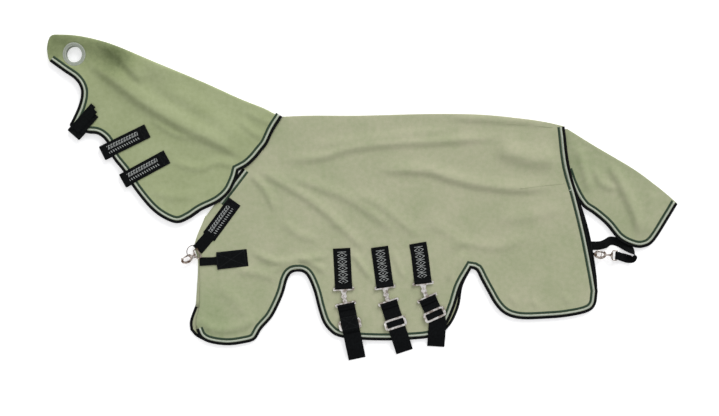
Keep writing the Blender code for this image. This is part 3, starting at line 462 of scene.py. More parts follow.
def add_rolls(vertices, faces, where, edge, outline, kinds, insets, way, mid_height):
    """Rows that carry a panel's edge round its fold, or turn its hem under."""
    added, uvs, n = [], [], len(edge)
    along = np.roll(outline, -1, 0) - np.roll(outline, 1, 0)
    along /= np.linalg.norm(along, axis=1)[:, None]
    outward = np.stack([along[:, 1], -along[:, 0]], 1)
    made = {}
    for i in range(n):
        kind = kinds[i] if kinds[i] in ("fold", "hem") else kinds[i - 1]
        if kind not in ("fold", "hem") or i not in where:
            continue
        base = where[i]
        x, y, z = vertices[base]
        rows = [base]
        if kind == "fold":
            steps = [(insets["fold"] * math.sin(a), math.cos(a)) for a in np.radians([22.5, 45, 67.5, 90])]
            steps = [(reach, mid_height + (z - mid_height) * share) for reach, share in steps]
        else:
            turns = np.radians([45, 90, 135, 180])
            steps = [(HEM_ROLL * math.sin(a), z + way * HEM_ROLL * (1 - math.cos(a))) for a in turns]
            steps.append((-HEM_DEPTH, z + way * (2 * HEM_ROLL + HEM_GAP)))
        for reach, tall in steps:
            rows.append(len(vertices) + len(added))
            added.append((x + outward[i][0] * reach, y + outward[i][1] * reach, tall))
            uvs.append((x + outward[i][0] * abs(reach), y + outward[i][1] * abs(reach)))
        made[i] = rows
    for i in range(n):
        j = (i + 1) % n
        if kinds[i] in ("fold", "hem") and i in made and j in made and len(made[i]) == len(made[j]):
            for a in range(len(made[i]) - 1):
                faces.append((made[i][a], made[j][a], made[j][a + 1], made[i][a + 1]))
    return faces, added, uvs


def polygon_area(outline):
    x, y = outline[:, 0], outline[:, 1]
    return abs((x * np.roll(y, -1) - y * np.roll(x, -1)).sum()) / 2


def tube_faces(count, around, closed=False):
    """The faces of a tube of so many sections, with an end at each side unless it is closed."""
    faces = []
    for i in range(count if closed else count - 1):
        j = (i + 1) % count
        for k in range(around):
            n = (k + 1) % around
            faces.append((i * around + k, i * around + n, j * around + n, j * around + k))
    if not closed:
        faces += [tuple(range(around))[::-1], tuple(range((count - 1) * around, count * around))]
    return faces


def swept(name, path, profile, rise, material, closed=False):
    """A strip along a plan line. profile is its closed section: (distance inside the line, height)."""
    lines = {d: offset_path(path, d, closed) if d else path for d, _ in profile}
    rises = {d: rise(line) for d, line in lines.items()}
    length, around = distances_along(path), distances_along(np.array(profile))
    count = len(path)
    vertices, uvs = [], []
    for i in range(count):
        for k, (d, h) in enumerate(profile):
            x, y = lines[d][i]
            vertices.append((x, y, h + rises[d][i]))
            uvs.append((length[i], around[k]))
    return tidied(mesh_piece(name, vertices, tube_faces(count, len(profile), closed), uvs, material))


def binding_profile(height, width=BINDING, half=1.25 * MM):
    """The closed section of a binding folded over an edge."""
    inner, far = width - 1.6 * MM, width - 0.3 * MM
    section = [
        (0, 0), (0.3 * MM, 0.7), (1.3 * MM, 1), (width * 0.55, 1.12), (inner, 1), (far, 0.72),
        (far, -0.72), (inner, -1), (width * 0.55, -1), (1.3 * MM, -1), (0.3 * MM, -0.7),
    ]
    return [(across, height + half * up) for across, up in section]


def band_profile(near, far, base, thick, crown):
    """A flat trim band that lies on cloth whose face is at base. thick is below zero under the cloth."""
    way = 1 if thick > 0 else -1
    middle, top = (near + far) / 2, base + thick
    return [
        (near, base + way * 0.1 * MM), (near + 0.5 * MM, top), (middle, top + way * crown),
        (far - 0.5 * MM, top), (far, base + way * 0.1 * MM), (middle, base + way * 0.05 * MM),
    ]


def webbing(name, stations, material, spacing=2.5 * MM):
    """A strip of webbing. Each station is its middle and the vector from there to its left edge."""
    line = catmull_rom([np.concatenate([c, h]) for c, h in stations], spacing, 1)
    centres, halves = line[:, :3], line[:, 3:]
    along = np.gradient(centres, axis=0)
    normals = np.cross(along, halves)
    normals /= np.linalg.norm(normals, axis=1)[:, None]
    section = [(-1, 0), (-0.985, 0.75), (-0.94, 1), (-0.5, 1), (0, 1), (0.5, 1), (0.94, 1), (0.985, 0.75)]
    section += [(-across, -up) for across, up in section]
    vertices, uvs = [], []
    for centre, half, normal, along_web in zip(centres, halves, normals, distances_along(centres)):
        for across, up in section:
            vertices.append(centre + half * across + normal * up * WEB / 2)
            uvs.append((along_web, across * np.linalg.norm(half) + (UNDERSIDE if up < 0 else 0)))
    faces = tube_faces(len(centres), len(section))
    return tidied(mesh_piece(name, vertices, faces, uvs, material))


def flat_web(name, plan, heights, width, material, **more):
    """Webbing along a plan line. heights gives (distance, height of its middle, width if it changes)."""
    stations = []
    plan = np.array(plan)
    legs = np.linalg.norm(np.diff(plan, axis=0), axis=1)

    def at(distance):
        for i, leg in enumerate(legs):
            if distance <= leg or i == len(legs) - 1:
                way = (plan[i + 1] - plan[i]) / leg
                return plan[i] + way * distance, way
            distance -= leg

    for station in heights:
        place, _ = at(station[0])
        way = unit(at(station[0] - 5 * MM)[1] + at(station[0] + 5 * MM)[1])
        half = (station[2] if len(station) > 2 else width) / 2
        stations.append(((*place, station[1]), (-way[1] * half, way[0] * half, 0)))
    return webbing(name, stations, material, **more)


# Materials ----------------------------------------------------------------------------------


class Field:
    """A number that varies over a surface, as a node socket with arithmetic."""

    def __init__(self, tree, socket):
        self.tree, self.socket = tree, socket

    def math(self, kind, *others):
        node = self.tree.nodes.new("ShaderNodeMath")
        node.operation = kind
        for i, value in enumerate((self, *others)):
            if isinstance(value, Field):
                self.tree.links.new(value.socket, node.inputs[i])
            else:
                node.inputs[i].default_value = value
        return Field(self.tree, node.outputs[0])

    def __add__(self, other):
        return self.math("ADD", other)

    def __sub__(self, other):
        return self.math("SUBTRACT", other)

    def __mul__(self, other):
        return self.math("MULTIPLY", other)

    def below(self, edge):
        return self.math("LESS_THAN", edge)

    def above(self, edge):
        return self.math("GREATER_THAN", edge)

    def size(self):
        return self.math("ABSOLUTE")

    def either(self, other):
        return self.math("MAXIMUM", other)

    def clamped(self):
        return self.math("MAXIMUM", 0.0).math("MINIMUM", 1.0)

    def wave(self, pitch):
        """A sine of this pitch."""
        return (self * (2 * math.pi / pitch)).math("SINE")

    def repeat(self, pitch):
        """The place within each repeat, from 0 to 1."""
        return (self * (1 / pitch)).math("FRACT")

    def between(self, low, high):
        return self.above(low) * self.below(high)


def new_material(name, roughness, metallic=0.0, sheen=0.0):
    material = bpy.data.materials.new(name)
    material.use_nodes = True
    tree = material.node_tree
    shader = tree.nodes["Principled BSDF"]
    shader.inputs["Roughness"].default_value = roughness
    shader.inputs["Metallic"].default_value = metallic
    shader.inputs["Sheen Weight"].default_value = sheen
    shader.inputs["Sheen Roughness"].default_value = 0.6
    shader.inputs["Specular IOR Level"].default_value = 0.25 if not metallic else 0.5
    return material, tree, shader


def weave_axes(tree):
    node = tree.nodes.new("ShaderNodeUVMap")
    node.uv_map = "weave"
    split = tree.nodes.new("ShaderNodeSeparateXYZ")
    tree.links.new(node.outputs[0], split.inputs[0])
    return Field(tree, split.outputs[0]), Field(tree, split.outputs[1]), node.outputs[0]


def noise_field(tree, vector, scale, detail=2.0):
    node = tree.nodes.new("ShaderNodeTexNoise")
    node.inputs["Scale"].default_value = scale
    node.inputs["Detail"].default_value = detail
    tree.links.new(vector, node.inputs["Vector"])
    return Field(tree, node.outputs["Fac"])


def set_colour(tree, shader, colour, plain):
    """Links a colour to the shader, and sets the plain colour that stands for it."""
    tree.links.new(colour, shader.inputs["Base Color"])
    shader.inputs["Base Color"].default_value = (*plain, 1)


def mixed(tree, share, first, second):
    """The colour between two others."""
    node = tree.nodes.new("ShaderNodeMix")
    node.data_type = "RGBA"
    tree.links.new(share.socket, node.inputs[0])
    for socket, colour in ((node.inputs[6], first), (node.inputs[7], second)):
        if isinstance(colour, tuple):
            socket.default_value = (*colour, 1)
        else:
            tree.links.new(colour, socket)
    return node.outputs[2]


def add_bump(tree, shader, height, depth, strength=1.0):
    node = tree.nodes.new("ShaderNodeBump")
    node.inputs["Distance"].default_value = depth
    node.inputs["Strength"].default_value = strength
    tree.links.new(height.socket, node.inputs["Height"])
    tree.links.new(node.outputs[0], shader.inputs["Normal"])


def cloth_material(name, light, dark, deep=(0.12, 0.155, 0.06), with_tone_and_shade=True):
    """A close plain weave whose colour drifts slowly, with paler slubs along the threads."""
    material, tree, shader = new_material(name, 0.92, sheen=0.12)
    u, v, vector = weave_axes(tree)
    drift = noise_field(tree, vector, 9, 3)
    slub = noise_field(tree, vector, 420, 1)
    threads = u.wave(1.1 * MM) * v.wave(1.1 * MM)
    mottle = noise_field(tree, vector, 75, 2)
    share = (drift - 0.5) * 1.0 + (mottle - 0.5) * 0.7 + (slub - 0.5) * 0.5 + 0.5 + threads * 0.06
    # The attribute darkens the cloth, with painted shade at the poll, by the rear trim and at the tail root.
    if with_tone_and_shade:
        tone_and_shade = tree.nodes.new("ShaderNodeAttribute")
        tone_and_shade.attribute_name = "tone_and_shade"
        share = share + Field(tree, tone_and_shade.outputs["Fac"])
    colour = mixed(tree, share.clamped(), light, dark)
    colour = mixed(tree, (share - 1.0).clamped(), colour, deep)
    set_colour(tree, shader, colour, light)
    add_bump(tree, shader, threads * 0.5 + slub * 0.7, 0.12 * MM, 0.55)
    return material


def trim_material(name, base, worn_and_reflected, rib, stitch=(), stitch_colour=None):
    """A narrow woven tape, ribbed across, with a row of stitches at each place in stitch."""
    material, tree, shader = new_material(name, 0.85)
    shader.inputs["Specular IOR Level"].default_value = 0.12
    u, v, vector = weave_axes(tree)
    wear = noise_field(tree, vector, 130, 3)
    ribs = u.wave(rib)
    share = (wear - 0.42) * 1.5 + ribs * 0.14
    colour = mixed(tree, share.clamped(), base, worn_and_reflected)
    height = ribs * 0.5
    for place in stitch:
        dash = (u.repeat(3.1 * MM) - 0.5).size().below(0.33) * (v - place).size().below(0.32 * MM)
        colour = mixed(tree, dash, colour, stitch_colour)
        height = height + dash * 1.6
    set_colour(tree, shader, colour, base)
    add_bump(tree, shader, height, 0.16 * MM, 0.7)
    return material


WEB_BLACK, WEB_WORN = (0.0006, 0.0009, 0.0012), (0.0065, 0.008, 0.009)
WEB_STITCH, WOVEN_GREY = (0.035, 0.038, 0.04), (0.44, 0.46, 0.45)


def webbing_material(name, half, motif=None, window=(0.0, 1.0), boxes=()):
    """Black webbing with a herringbone weave, selvedges, box stitches and perhaps a woven pattern."""
    material, tree, shader = new_material(name, 0.75)
    shader.inputs["Specular IOR Level"].default_value = 0.1
    u, v, vector = weave_axes(tree)
    wear = noise_field(tree, vector, 160, 3)
    chevron = (u + (v.repeat(8 * MM) - 0.5).size() * (9 * MM)).wave(1.7 * MM)
    ribs = v.wave(1.15 * MM)
    edge = v.size().above(half - 1.6 * MM) * v.below(0.5)
    share = (wear - 0.5) * 1.3 + chevron * 0.16 + ribs * 0.1 + 0.32 + edge * 0.35
    colour = mixed(tree, share.clamped(), WEB_BLACK, WEB_WORN)
    height = chevron * 0.45 + ribs * 0.35
    if motif:
        pattern = motif(u, v) * u.between(*window)
        thread = pattern * 0.85 + pattern * ribs * 0.15
        colour = mixed(tree, thread, colour, WOVEN_GREY)
        height = height + pattern * 0.9
    for start, end in boxes:
        stitched = box_stitch(u, v, start, end, half - 3.2 * MM)
        colour = mixed(tree, stitched * 0.55, colour, WEB_STITCH)
        height = height + stitched * 1.1
    set_colour(tree, shader, colour, WEB_WORN)
    add_bump(tree, shader, height, 0.22 * MM, 0.8)
    return material


def box_stitch(u, v, start, end, half):
    """The box-and-cross stitching that holds a webbing end."""
    line = 0.4 * MM
    middle, reach = (start + end) / 2, (end - start) / 2
    inside = (u - middle).size().below(reach + line) * v.size().below(half + line)
    frame_u = ((u - middle).size() - reach).size().below(line)
    frame_v = (v.size() - half).size().below(line)
    cross = ((u - middle).size() * (half / reach) - v.size()).size().below(line * 1.6)
    dash = (u + v).repeat(2.6 * MM).below(0.7)
    return frame_u.either(frame_v).either(cross) * inside * dash


def lozenges(u, v):
    """A row of outlined lozenges with a bar between each, along the webbing."""
    pitch = 18.8 * MM
    place = ((u - 33 * MM).repeat(pitch) - 0.5).size() * pitch
    across = v.size()
    slope = place * 1.75 + across
    outline = (slope - 13.0 * MM).size().below(1.5 * MM)
    core = slope.below(3.4 * MM)
    bars = (place - pitch / 2).size().below(0.75 * MM) * across.below(12.5 * MM)
    return outline.either(core).either(bars)


def two_rows(u, v):
    """A row of slanted bars with hooks and dots, above a row of short dashes."""
    slanted = u - v * 0.35
    bars = slanted.repeat(8.4 * MM).between(0.14, 0.4) * v.between(0.5 * MM, 12.0 * MM)
    ticks = slanted.repeat(8.4 * MM).between(0.4, 0.8) * (v - 10.6 * MM).size().below(1.3 * MM)
    dots = slanted.repeat(8.4 * MM).between(0.56, 0.82) * (v - 3.2 * MM).size().below(2.4 * MM)
    dash = (u + v * 0.3).repeat(7.2 * MM).between(0.16, 0.5) * (v + 8.2 * MM).size().below(3.3 * MM)
    return bars.either(ticks).either(dots).either(dash)


def nickel_material(name, base, worn_and_reflected, rough, contrast=3.2):
    """Bright plating with soft darker patches, painted dark reflections, and fine scratches."""
    material, tree, shader = new_material(name, rough, metallic=1.0)
    node = tree.nodes.new("ShaderNodeTexCoord")
    vector = node.outputs["Object"]
    cloudy = noise_field(tree, vector, 110, 2)
    scratches = noise_field(tree, vector, 900, 2)
    share = (cloudy - 0.5) * contrast + (scratches - 0.5) * 0.4 + 0.45
    set_colour(tree, shader, mixed(tree, share.clamped(), base, worn_and_reflected), base)
    tree.links.new((cloudy * 0.25 + (rough - 0.1)).socket, shader.inputs["Roughness"])
    add_bump(tree, shader, cloudy * 0.6 + scratches * 0.4, 0.12 * MM, 0.35)
    return material


rug_cloth = cloth_material("rug_cloth_weave", (0.515, 0.508, 0.35), (0.335, 0.39, 0.215))
neck_cloth = cloth_material("neck_cloth_weave", (0.45, 0.495, 0.29), (0.305, 0.355, 0.175))
under_cloth = cloth_material("under_cloth_weave", (0.43, 0.45, 0.29), (0.33, 0.35, 0.215), with_tone_and_shade=False)
binding_cloth = trim_material(
    "edge_binding_weave", (0.001, 0.0014, 0.0018), (0.010, 0.0115, 0.0125), 1.3 * MM,
    (3.2 * MM, 8.6 * MM), (0.022, 0.024, 0.024),
)
piping_cloth = trim_material("piping_weave", (0.52, 0.57, 0.48), (0.36, 0.4, 0.33), 1.0 * MM)
tape_cloth = trim_material(
    "trim_tape_weave", (0.034, 0.062, 0.038), (0.062, 0.092, 0.062), 1.2 * MM,
    (1.2 * MM, 5.4 * MM), (0.075, 0.11, 0.075),
)
rim_cloth = trim_material(
    "ear_rim_weave", (0.34, 0.375, 0.31), (0.5, 0.53, 0.46), 1.5 * MM,
    (2.6 * MM, 9.2 * MM), (0.7, 0.71, 0.66),
)
narrow_web = webbing_material("webbing_narrow", 12.5 * MM)
nickel = nickel_material("nickel_polished", (0.9, 0.87, 0.83), (0.36, 0.3, 0.26), 0.22, 4.5)
nickel_dark = nickel_material("nickel_shaded", (0.56, 0.49, 0.44), (0.13, 0.085, 0.06), 0.25, 6.5)
nickel_ring = nickel_material("nickel_ring", (0.36, 0.33, 0.31), (0.14, 0.11, 0.095), 0.3)


# Cloth, edging and seams ----------------------------------------------------------------------


# Where each part's cloth is darker: how much, where, and how far that reaches. Some of it is painted shade.
# On the body, the patch by the rear trim is painted shade; the others only darken the cloth.
BODY_SHADE_AND_DARK_PATCHES = [(0.6, -430, -380, 90), (0.22, 520, -200, 170), (0.16, 560, 150, 90), (0.1, 380, 225, 60)]
# On the neck, the patches along the poll are painted shade over the cloth's darker green.
NECK_POLL_SHADE_PATCHES = [(0.75, -890, 445, 60), (0.6, -800, 450, 70), (1.08, -705, 402, 52)]
# On the tail, the patch is painted shade where the flap's root runs under the body's rear edge.
TAIL_ROOT_SHADE_PATCHES = [(0.2, 640, 90, 60)]


def by(points, start, end, low, high):
    """A value that changes evenly along a direction of the plan."""
    a, b = spot(*start), spot(*end)
    t = smoothstep((points - a) @ (b - a) / ((b - a) @ (b - a)))
    return low + (high - low) * t


def patched(tone_and_shade, points, patches):
    for amount, x, y, reach in patches:
        distance = np.linalg.norm(points - spot(x, y), axis=1)
        tone_and_shade = tone_and_shade + amount * np.exp(-((distance / (reach * MM)) ** 2))
    return tone_and_shade


def body_tone_and_shade(points):
    return patched(by(points, (-420, 0), (560, 60), -0.02, -0.22), points, BODY_SHADE_AND_DARK_PATCHES)


# The neck grows darker towards the poll, partly painted shade.
def neck_tone_and_shade(points):
    return patched(by(points, (-880, 430), (-330, 130), 0.16, -0.02), points, NECK_POLL_SHADE_PATCHES)


def tail_tone_and_shade(points):
    return patched(np.full(len(points), 0.08), points, TAIL_ROOT_SHADE_PATCHES)


def under_rise(points):
    return np.array([0.3 * MM * noise.noise(Vector((x * 14, y * 14, 2.0))) for x, y in points])


def place_piece(item, bodies, nodes=(), span=None):
    """Attaches a piece to its body, or only bakes its transform if it has a span, and hides the CAD nodes it
    stands for.
    """
    if span:
        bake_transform(item)
    else:
        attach(item, bodies)
    if nodes:
        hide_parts(*nodes)
    return item


def edge_nodes(part, side):
    """The CAD nodes that an edge's binding, piping and tape stand for."""
    if side == "left":
        return [f"{part}_binding_left", f"{part}_piping_left", f"{part}_tape_left"]
    return [f"{part}_binding_right", None, f"{part}_trim_right"]


def edging(part, side, path, rise, height, bodies, span=None, nodes=(None, None, None)):
    """The binding, piping and tape along an edge."""
    up = 1 if side == "left" else -1
    face = height + up * CLOTH / 2
    piping = band_profile(*PIPING, face, up * 0.95 * MM, 0.25 * MM)
    tape = band_profile(*TAPE, face, up * 0.75 * MM, 0.08 * MM)
    made = [
        swept(f"edge_{part}_{side}", path, binding_profile(height), rise, binding_cloth),
        swept(f"piping_{part}_{side}", path, piping, rise, piping_cloth),
        swept(f"tape_{part}_{side}", path, tape, rise, tape_cloth),
    ]
    for item, slot, node in zip(made, ("edge_binding", "piping", "trim_tape"), nodes):
        place_piece(item, bodies, [node] if node else [], span)
    return made


def declare_sheet(outline):
    size = outline.max(0) - outline.min(0)


def root(top, low, side):
    """The middle of a part's root line, and the plan direction that leads away from it on one side."""
    way = unit(low - top)
    return (top + low) / 2, side * np.array([way[1], -way[0]])


def span_from(middle, away, near, far):
    """The start and end of a blend across a root line."""
    return (*(middle + away * near * MM), 0), (*(middle + away * far * MM), 0)


spine, neckline, rear, hind = run(SPINE), run(NECKLINE), run(REAR), run(HIND_HEM)
body_fold_z = (BODY_Z + BODY_UNDER_Z) / 2
for side in ("left", "right"):
    left = side == "left"
    front = FRONT_HEM if left else FRONT_HEM_RIGHT
    belly = run([*front, *FRONT_ARCH, *BELLY_HEM, *(BELLY_RISE_LEFT if left else BELLY_RISE_RIGHT)])
    bound = joined(belly, hind, rear if left else run(REAR_RIGHT))
    height = BODY_Z if left else BODY_UNDER_Z
    rise = body_rise if left else under_rise
    chest = [(run(CHEST_LEFT), "hem")]
    if not left:
        chest = [(run(CHEST_RIGHT[:4]), "hem"), (run(CHEST_RIGHT[3:]), "bound")]
    runs = [(spine, "fold"), (neckline, "under"), *chest, (bound, "bound")]
    item, area, outline = sheet(
        f"cloth_body_{side}", runs, rise, height, body_fold_z, rug_cloth if left else under_cloth,
        tone_and_shade=body_tone_and_shade if left else None,
    )
    nodes = ["body_left", "spine_seam", "chest_front_fold"] if left else ["body_right"]
    place_piece(item, "rug_body", nodes)
    trimmed = bound if left else joined(chest[-1][0], bound)
    trims = edging("body", side, trimmed, rise, height, "rug_body", nodes=edge_nodes("body", side))
    declare_sheet(outline)

# Two stitched darts over the rump, and the tack at the top of the rear edge
# The darts lack the cloth's darkness attribute, so they come out darker: painted shade along their
# stitching.
dart_section = band_profile(0, 2.6 * MM, BODY_TOP, 0.45 * MM, 0.2 * MM)
tack_section = band_profile(0, 3 * MM, BODY_Z + 1.4 * MM, 0.5 * MM, 0.15 * MM)
tack_line = np.array([spot(600, 14), spot(604, 16), spot(609, 18)])
upper_line, lower_line = run([(365, 209), (458, 204), (551, 197)]), run([(458, 20), (523, 28.5), (588, 35)])
for name, line, section, material, slot in (
    ("dart_upper", upper_line, dart_section, rug_cloth, "rug_cloth"),
    ("dart_lower", lower_line, dart_section, rug_cloth, "rug_cloth"),
    ("rear_tack", tack_line, tack_section, piping_cloth, "piping"),
):
    place_piece(swept(name, line, section, body_rise, material), "rug_body")

edging("collar", "left", run(NECKLINE[3:6]), body_rise, BODY_Z, "rug_body")

neck_fold_z = (NECK_Z + NECK_UNDER_Z) / 2
NECK_SPAN = span_from(*root(spot(-220, 241), spot(-345, 96), 1), 4, 165)
EAR_RIM = 11 * MM
ear = middle_of("ear_rim_left")
ear_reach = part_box("ear_rim_left")[1].x - ear[0]
for side in ("left", "right"):
    left = side == "left"
    top = run([*POLL, *POLL_TOP[1:]])
    lower = run([*FACE, *THROAT[1:]])
    seam = run(NECK_SEAM)
    if not left:
        clear = RIGHT_NECK_CLEARANCE * MM
        lower = lower[lower[:, 0] < neckline[-1][0] - clear]
        seam = neckline[::-1] - np.array([clear, -clear * 0.6])
        seam = seam[(seam[:, 1] < top[0][1] - 6 * MM) & (seam[:, 1] > lower[-1][1] + 14 * MM)]
        top = np.vstack([top[0] - np.array([clear, -clear * 0.3]), top[3:]])
    height = NECK_Z if left else NECK_UNDER_Z
    rise = neck_rise if left else under_rise
    throat = lower if left else np.vstack([lower, seam[:1]])
    runs = [(top, "fold"), (throat, "bound"), (np.vstack([seam, top[:1]]), "bound" if left else "under")]
    item, area, outline = sheet(
        f"cloth_neck_{side}", runs, rise, height, neck_fold_z, neck_cloth if left else under_cloth,
        hole=(ear, ear_reach - 4 * MM), tone_and_shade=neck_tone_and_shade if left else None,
    )
    bodies = ("rug_body", "neck_cover")
    nodes = ["neck_left", "neck_seam"] if left else ["neck_right"]
    place_piece(item, bodies, nodes, NECK_SPAN)
    path = joined(lower, seam) if left else lower
    trims = edging("neck", side, path, rise, height, bodies, NECK_SPAN, edge_nodes("neck", side))
    section = binding_profile(height, EAR_RIM, 1.3 * MM)
    rim = swept(f"rim_ear_{side}", circle(ear, ear_reach, 64), section, rise, rim_cloth, closed=True)
    place_piece(rim, "neck_cover", [f"ear_rim_{side}"])
    declare_sheet(outline)

tail_fold_z = (TAIL_Z + TAIL_UNDER_Z) / 2
tail_middle, to_tail = root(spot(586, 200), spot(622, 9), -1)
TAIL_SPAN = span_from(tail_middle, to_tail, 3, 62)


def tail_left_rise(points):
    """The flap's creases. Its root dips to pass under the body's rear binding."""
    past = (points - tail_middle) @ to_tail
    dip = 1.7 * MM * smoothstep((12 * MM - past) / (8 * MM))
    return creased(points, TAIL_CREASES) * smoothstep((past - 4 * MM) / (30 * MM)) - dip


for side in ("left", "right"):
    left = side == "left"
    tail_spine, seam, edge = run(TAIL_SPINE), run(TAIL_ROOT), run(TAIL_EDGE)
    if left:
        seam = seam - to_tail * 15 * MM
    height = TAIL_Z if left else TAIL_UNDER_Z
    rise = tail_left_rise if left else under_rise
    runs = [(np.vstack([tail_spine, seam[:1]]), "fold"), (np.vstack([seam, edge[:1]]), "under")]
    runs.append((edge, "bound"))
    item, area, outline = sheet(
        f"cloth_tail_{side}", runs, rise, height, tail_fold_z, rug_cloth if left else under_cloth,
        tone_and_shade=tail_tone_and_shade if left else None,
    )
    bodies = ("rug_body", "tail_flap")
    nodes = ["tail_left", "tail_seam"] if left else ["tail_right"]
    place_piece(item, bodies, nodes, TAIL_SPAN)
    trims = edging("tail", side, edge, rise, height, bodies, TAIL_SPAN, edge_nodes("tail", side))
    declare_sheet(outline)


# Belly straps --------------------------------------------------------------------------------

FLAT = BODY_TOP + 0.3 * MM + WEB / 2
STRAP_Z = BODY_TOP + 4.1 * MM
FOLD = 3.23 * MM
EYE_REACH, HOOK_REACH = 25 * MM, 26 * MM
BELLY_WEB, LABEL_WEB, CHEST_WEB, NARROW_WEB = 50 * MM, 42 * MM, 34 * MM, 25 * MM
# How a strap turns round the hem: reach past the end of its line, and height
HEM_TURN = [(0.4, 4.75), (1.7, 3.9), (2.1, 2.8), (1.6, 1.6), (0.2, 0.85)]
BELLY_STRAPS = [
    {"tab": [(-59, -151), (-53, -265)], "strap": [(-15, -466)]},
    {"tab": [(50, -143), (66, -260)], "strap": [(122, -446)]},
    {"tab": [(160, -130), (167, -171), (176, -249)], "strap": [(218, -361), (214, -431)]},
]
pattern_web = webbing_material(
    "webbing_belly_tab", 25 * MM, lozenges, (33 * MM, 129 * MM), [(4 * MM, 20 * MM)]
)
strap_web = webbing_material("webbing_belly_strap", 25 * MM, boxes=[(2 * MM, 36 * MM)])


def round_bar(height, turned_back, end_height):
    """Stations of webbing that is folded round a bar and sewn back on itself."""
    found = [(turned_back, end_height), (turned_back * 0.5, end_height + 0.2 * MM)]
    for angle in np.radians([75, 108, 141, 174, 207, 240]):
        found.append((FOLD * math.cos(angle), height + FOLD * math.sin(angle)))
    return found


def over_cloth(plan, distances, lift):
    """Stations that follow the crumpled cloth under a strap."""
    plan = np.array(plan)
    marks = distances_along(plan)
    points = np.stack([np.interp(distances, marks, plan[:, k]) for k in (0, 1)], 1)
    return list(zip(distances, lift + np.maximum(body_rise(points), 0)))


def belly_tab(number, tab, eye_z):
    """The sewn tab that holds an eye casting."""
    sewn = round_bar(eye_z, 13 * MM, FLAT + WEB + 1.0 * MM)
    sewn += [(22 * MM, FLAT + 0.5 * MM), *over_cloth(tab[::-1], np.arange(30, 117, 7) * MM, FLAT)]
    item = flat_web(f"belly_tab_webbing_{number}", tab[::-1], sewn, BELLY_WEB, pattern_web)
    place_piece(item, "rug_body", [f"belly_tab_{number}"])


def belly_strap(number, plan, eye_z, slide_at, inner_end):
    """A strap from its hook, through its slider and over the hem, to the lengths under the rug."""
    marks = distances_along(np.array(plan))
    ups = [*round_bar(eye_z, 14 * MM, FLAT + WEB + 1.4 * MM), (15 * MM, FLAT + 0.6 * MM)]
    ups += [(slide_at - 18 * MM, STRAP_Z), (slide_at, STRAP_Z), (slide_at + 18 * MM, STRAP_Z + 0.2 * MM)]
    ups += [(d, STRAP_Z) for d in np.arange(slide_at + 30 * MM, marks[-1] - 22 * MM, 12 * MM)]
    ups += [(marks[-1] - 12 * MM, 7.6 * MM), (marks[-1] - 4 * MM, 5.2 * MM)]
    stations = []
    for distance, tall in ups:
        i = min(max(int(np.searchsorted(marks, distance, "right")) - 1, 0), len(plan) - 2)
        way = unit(plan[i + 1] - plan[i])
        place = plan[i] + way * (distance - marks[i])
        if len(plan) > 2:
            share = smoothstep((distance - marks[1] + 12 * MM) / (24 * MM))
            way = unit(unit(plan[1] - plan[0]) * (1 - share) + unit(plan[2] - plan[1]) * share)
        stations.append(((*place, tall), (-way[1] * BELLY_WEB / 2, way[0] * BELLY_WEB / 2, 0)))
    end, last = plan[-1], unit(plan[-1] - plan[-2])
    left_of = np.array([-last[1], last[0], 0]) * BELLY_WEB / 2
    for reach, tall in HEM_TURN:
        stations.append(((*(end + last * reach * MM), tall * MM), left_of))
    under = np.linalg.norm(end - inner_end)
    for reach in (8 * MM, under * 0.5, under * 0.97):
        stations.append(((*(end - last * reach), WEB / 2), left_of))
    item = webbing(f"belly_strap_webbing_{number}", stations, strap_web)
    bodies = ("rug_body", f"belly_strap_{number}_body")
    nodes = [f"belly_strap_{number}", f"belly_strap_under_{number}"]
    place_piece(item, bodies, nodes, ((*end, 1.65 * MM), (*end, 3.95 * MM)))


def slider_cover(number, way):
    """The strap's doubled end, which lies over a slider and moves with it."""
    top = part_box(f"belly_slider_{number}")[1].z + WEB / 2 + 0.25 * MM
    slider = middle_of(f"belly_slider_{number}")
    rest, step = STRAP_Z + WEB + 0.3 * MM, STRAP_Z + WEB + 0.9 * MM
    heights = [(0, rest), (4 * MM, step), (9 * MM, top), (24 * MM, top - 0.7 * MM), (39 * MM, top)]
    heights += [(44 * MM, step), (48 * MM, rest)]
    plan = [slider - way * 24 * MM, slider + way * 24 * MM]
    item = flat_web("belly_slider_cover", plan, heights, BELLY_WEB, strap_web)
    place_piece(item, f"belly_slider_{number}_body")


def laid_out(design):
    """A belly tab's line, its strap's line from the hook onwards, and the strap's first direction."""
    tab, bends = ([spot(*point) for point in design[part]] for part in ("tab", "strap"))
    eye = tab[-1] + unit(tab[-1] - tab[-2]) * EYE_REACH
    way = unit(bends[0] - eye)
    return tab, [eye + way * HOOK_REACH, *bends], way


for number, design in enumerate(BELLY_STRAPS, 1):
    tab, plan, _ = laid_out(design)
    eye_z = level(f"belly_eye_{number}")
    belly_tab(number, tab, eye_z)
    slide_at = np.linalg.norm(middle_of(f"belly_slider_{number}") - plan[0])
    belly_strap(number, plan, eye_z, slide_at, tab[0])
slider_cover(1, laid_out(BELLY_STRAPS[0])[2])

# Throat straps ---------------------------------------------------------------------------------

NECK_TRIM_TOP = NECK_Z + CLOTH / 2 + 0.9 * MM
THROAT_STRAP = 145 * MM
throat_z = NECK_TRIM_TOP + 0.3 * MM + WEB / 2
label_web = webbing_material("webbing_label", 21 * MM, two_rows, (84 * MM, 182 * MM), [(193 * MM, 214 * MM)])
bunch_web = webbing_material("webbing_bunch", 21 * MM, boxes=[(60 * MM, 84 * MM)])
